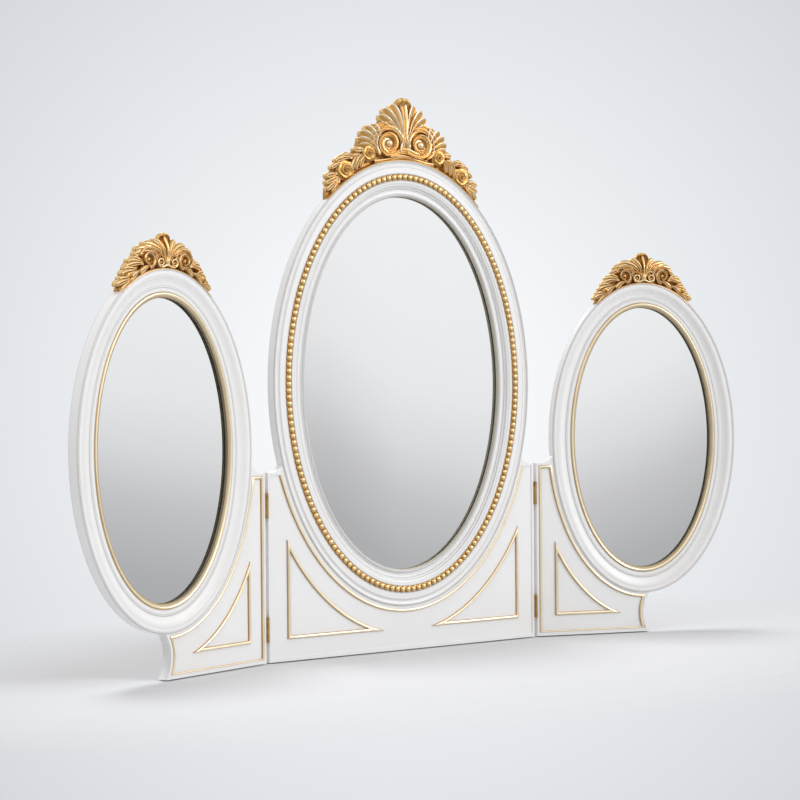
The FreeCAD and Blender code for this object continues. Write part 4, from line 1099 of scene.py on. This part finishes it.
class MIRROR_OT_stage(bpy.types.Operator):
    """Camera at the photograph's angle, soft light from the upper right, pale floor and backdrop"""
    bl_idname = "mirror.stage"
    bl_label = "Stage"

    def execute(self, context):
        scene = context.scene
        scene.view_settings.view_transform = "Standard"
        forward = self.camera(scene)
        self.world(scene, forward)
        self.lamps(scene)
        self.floor(scene)
        return {"FINISHED"}

    def camera(self, scene):
        """Camera turned by yaw, pitch and roll; returns its viewing direction."""
        stage = scene.mirror_stage
        data = bpy.data.cameras.new("studio_camera")
        data.lens = stage.lens
        data.sensor_width = 36.0
        data.clip_end = 60.0
        forward = Vector((math.sin(stage.yaw) * math.cos(stage.pitch),
                          math.cos(stage.yaw) * math.cos(stage.pitch), -math.sin(stage.pitch)))
        right = Vector((math.cos(stage.yaw), -math.sin(stage.yaw), 0))
        up = right.cross(forward)
        c, t = math.cos(stage.roll), math.sin(stage.roll)
        right, up = right * c + up * t, up * c - right * t
        turn = Matrix((right, up, -forward)).transposed().to_4x4()
        camera = bpy.data.objects.new("studio_camera", data)
        camera.matrix_world = Matrix.Translation(Vector(stage.camera)) @ turn
        scene.collection.objects.link(camera)
        scene.camera = camera
        return forward

    def world(self, scene, forward):
        """Even light all round; the camera sees a pale backdrop, and metal and glass a graded studio."""
        world = bpy.data.worlds.new("studio")
        scene.world = world
        world.use_nodes = True
        world.node_tree.nodes.clear()
        shade = Shade(world.node_tree)
        way = shade.add("ShaderNodeTexCoord", output="Generated")
        seen, glossy, through = [
            shade.add("ShaderNodeLightPath", output=kind)
            for kind in ("Is Camera Ray", "Is Glossy Ray", "Is Transmission Ray")]
        ambient = scene.mirror_stage.ambient
        mirrored = shade.maths("MAXIMUM", glossy, through)
        light = mirrored.mix((ambient, ambient, ambient * 1.01, 1), self.studio(shade, way))
        shown = seen.mix(light, self.backdrop(shade, way, forward))
        shader = shade.add("ShaderNodeBackground", None, {"Color": shown, "Strength": 1.0})
        shade.add("ShaderNodeOutputWorld", None, {"Surface": shader})

    def backdrop(self, shade, way, forward):
        """Palest in the middle of the view, and darker with the tangent of the angle away from it."""
        rim = 0.36
        along = shade.add("ShaderNodeVectorMath", {"operation": "DOT_PRODUCT"}, {0: way, 1: tuple(forward)},
                          output="Value")
        away = (1 / (along * along) - 1).root()
        behind = shade.maths("LESS_THAN", along, 0.2)
        edge = shade.maths("MAXIMUM", shade.maths("MINIMUM", away, rim), behind * rim)
        return (edge / rim).ramp(
            [(0.0, (0.955, 0.965, 0.975, 1)), (0.2, (0.92, 0.937, 0.955, 1)), (0.52, (0.8, 0.82, 0.85, 1)),
             (0.88, (0.675, 0.69, 0.72, 1)), (1.0, (0.66, 0.675, 0.7, 1))])

    def studio(self, shade, way):
        """Tone of a reflected ray by its rise over its level run, and by its bearing from straight in front.

        The lean shifts the tone up or down with the bearing, level rays are dimmed on the dark side of the
        room, and rays that fall steeply see a floor.
        """
        x, y, z = [shade.add("ShaderNodeSeparateXYZ", None, {0: way}, axis) for axis in "XYZ"]
        rise = z / shade.maths("MAXIMUM", (x * x + y * y).root(), 0.05)
        bearing = shade.maths("ARCTAN2", x, y * -1) * (180 / math.pi)
        lean = (bearing / 90).ramp(
            [(0.0, 0.56), (0.05, 0.54), (0.08, 0.42), (0.1, 0.3), (0.31, 0.2), (0.335, 0.3), (0.36, 0.5),
             (0.388, 0.57), (0.45, 0.58), (0.61, 0.44), (0.645, 0.51), (0.67, 0.55)])
        tone = ((rise + (lean - 0.5) * 0.17) * 2.2 + 0.5).ramp(
            [(0.0, (0.55, 0.55, 0.555, 1)), (0.2, (0.4, 0.402, 0.408, 1)), (0.28, (0.45, 0.455, 0.465, 1)),
             (0.365, (0.58, 0.58, 0.59, 1)), (0.43, (0.73, 0.735, 0.745, 1)), (0.5, (0.83, 0.84, 0.85, 1)),
             (0.61, (0.88, 0.892, 0.905, 1)), (1.0, (0.95, 0.955, 0.96, 1))])
        round_about = bearing / 360 + 0.5
        side = round_about.ramp([(0.0, 1.0), (0.21, 1.0), (0.26, 0.42), (0.37, 0.42), (0.42, 0.9),
                                 (0.47, 1.0), (1.0, 0.9)])
        flat = shade.maths("ABSOLUTE", rise).ramp([(0.15, 1.0), (0.9, 0.0)])
        dimmed = flat.mix((1, 1, 1, 1), side)
        walls = shade.add("ShaderNodeVectorMath", {"operation": "MULTIPLY"}, {0: tone, 1: dimmed})
        low = round_about.ramp([(0.0, 0.8), (0.2, 0.54), (0.56, 0.54), (0.63, 0.82), (0.9, 0.9)])
        return (rise * -1).ramp([(0.17, 0.0), (0.27, 1.0)]).mix(walls, low)

    def lamps(self, scene):
        """Large key at the upper right in front, a fill at the left, a strip behind and two suns above."""
        stage = scene.mirror_stage
        middle = Vector((0, 0, 0.5))
        for name, place, size, share in (("key", (4.4, -5.6, 3.7), 2.7, 1.0),
                                         ("fill", (-2.2, -1.1, 1.9), 1.4, 0.055),
                                         ("back", (0.6, 2.2, 1.8), 1.2, 0.028)):
            data = bpy.data.lights.new("studio_" + name, "AREA")
            data.size = size
            data.energy = stage.key * share
            self.hang(scene, data, Vector(place), middle - Vector(place))
        for name, aim, spread, share in (("overhead", (0.1, -0.22, -1.0), 20, 0.78),
                                         ("overhead_front", (-0.42, 0.42, -1.0), 32, 0.28)):
            data = bpy.data.lights.new("studio_" + name, "SUN")
            data.energy = stage.overhead * share
            data.angle = math.radians(spread)
            self.hang(scene, data, Vector(), Vector(aim)).visible_glossy = False

    def hang(self, scene, data, place, aim):
        """Lamp at a place, shining along its aim."""
        lamp = bpy.data.objects.new(data.name, data)
        lamp.matrix_world = Matrix.Translation(place) @ aim.to_track_quat("-Z", "Y").to_matrix().to_4x4()
        scene.collection.objects.link(lamp)
        return lamp

    def floor(self, scene):
        """Round floor that keeps the mirror's shadow and fades into the backdrop away from it."""
        count, drop = 96, -0.0025
        turn = np.linspace(0, 2 * np.pi, count, endpoint=False)
        radius = np.array([0.02, 0.3, 0.6, 1.0, 2.0, 6.0])[:, None]
        level = np.full((len(radius), count), drop)
        grid = np.stack([radius * np.cos(turn), radius * np.sin(turn), level], -1)
        mesh = bpy.data.meshes.new("studio_floor")
        mesh.from_pydata(grid.reshape(-1, 3), [],
                         tube_faces(len(radius), count, False).tolist() + [list(range(count))])
        floor = bpy.data.objects.new("studio_floor", mesh)
        scene.collection.objects.link(floor)
        material = bpy.data.materials.new("studio_floor")
        material.use_nodes = True
        material.node_tree.nodes.clear()
        shade = Shade(material.node_tree)
        place = shade.add("ShaderNodeTexCoord", output="Object")
        place = shade.add("ShaderNodeMapping", None,
                          {"Vector": place, "Location": (0, 0.05, 0), "Scale": (0.72, 1.2, 1.0)})
        away = shade.add("ShaderNodeVectorMath", {"operation": "LENGTH"}, {0: place}, output="Value")
        near = away.ramp([(0.5, 1.0), (0.95, 0.0)])
        seen, glossy = [shade.add("ShaderNodeLightPath", output=kind)
                        for kind in ("Is Camera Ray", "Is Glossy Ray")]
        solid = (near * seen + 1 - seen) * (1 - glossy)
        diffuse = shade.add("ShaderNodeBsdfDiffuse", None, {"Color": tuple(scene.mirror_stage.floor)})
        clear = shade.add("ShaderNodeBsdfTransparent")
        shader = shade.add("ShaderNodeMixShader", None, {0: solid, 1: clear, 2: diffuse})
        shade.add("ShaderNodeOutputMaterial", None, {"Surface": shader})
        mesh.materials.append(material)


OPERATORS = (MIRROR_OT_boards, MIRROR_OT_frames, MIRROR_OT_glass, MIRROR_OT_gilt_lines, MIRROR_OT_pearls,
             MIRROR_OT_crests, MIRROR_OT_hardware, MIRROR_OT_stage)


class MIRROR_PT_panel(bpy.types.Panel):
    """Sizes, finishes and the steps that dress the mirror"""
    bl_idname = "MIRROR_PT_panel"
    bl_label = "Folding oval mirror"
    bl_space_type = "VIEW_3D"
    bl_region_type = "UI"
    bl_category = "Mirror"

    def draw(self, context):
        for operator in OPERATORS:
            self.layout.operator(operator.bl_idname)
        for name, group in GROUPS:
            box = self.layout.box()
            for size in group.__annotations__:
                box.prop(getattr(context.scene, name), size)


GROUPS = (("mirror_sizes", MirrorSizes), ("mirror_finishes", MirrorFinishes), ("mirror_stage", MirrorStage))


def register():
    for name, group in GROUPS:
        bpy.utils.register_class(group)
        setattr(bpy.types.Scene, name, PointerProperty(type=group))
    for cls in OPERATORS + (MIRROR_PT_panel,):
        bpy.utils.register_class(cls)


def unregister():
    for cls in reversed(OPERATORS + (MIRROR_PT_panel,)):
        bpy.utils.unregister_class(cls)
    for name, group in reversed(GROUPS):
        delattr(bpy.types.Scene, name)
        bpy.utils.unregister_class(group)


def main():
    register()
    bpy.ops.mirror.boards()
    bpy.ops.mirror.frames()
    bpy.ops.mirror.glass()
    bpy.ops.mirror.gilt_lines()
    bpy.ops.mirror.pearls()
    bpy.ops.mirror.crests()
    bpy.ops.mirror.hardware()
    bpy.ops.mirror.stage()


if __name__ == "__main__":
    main()
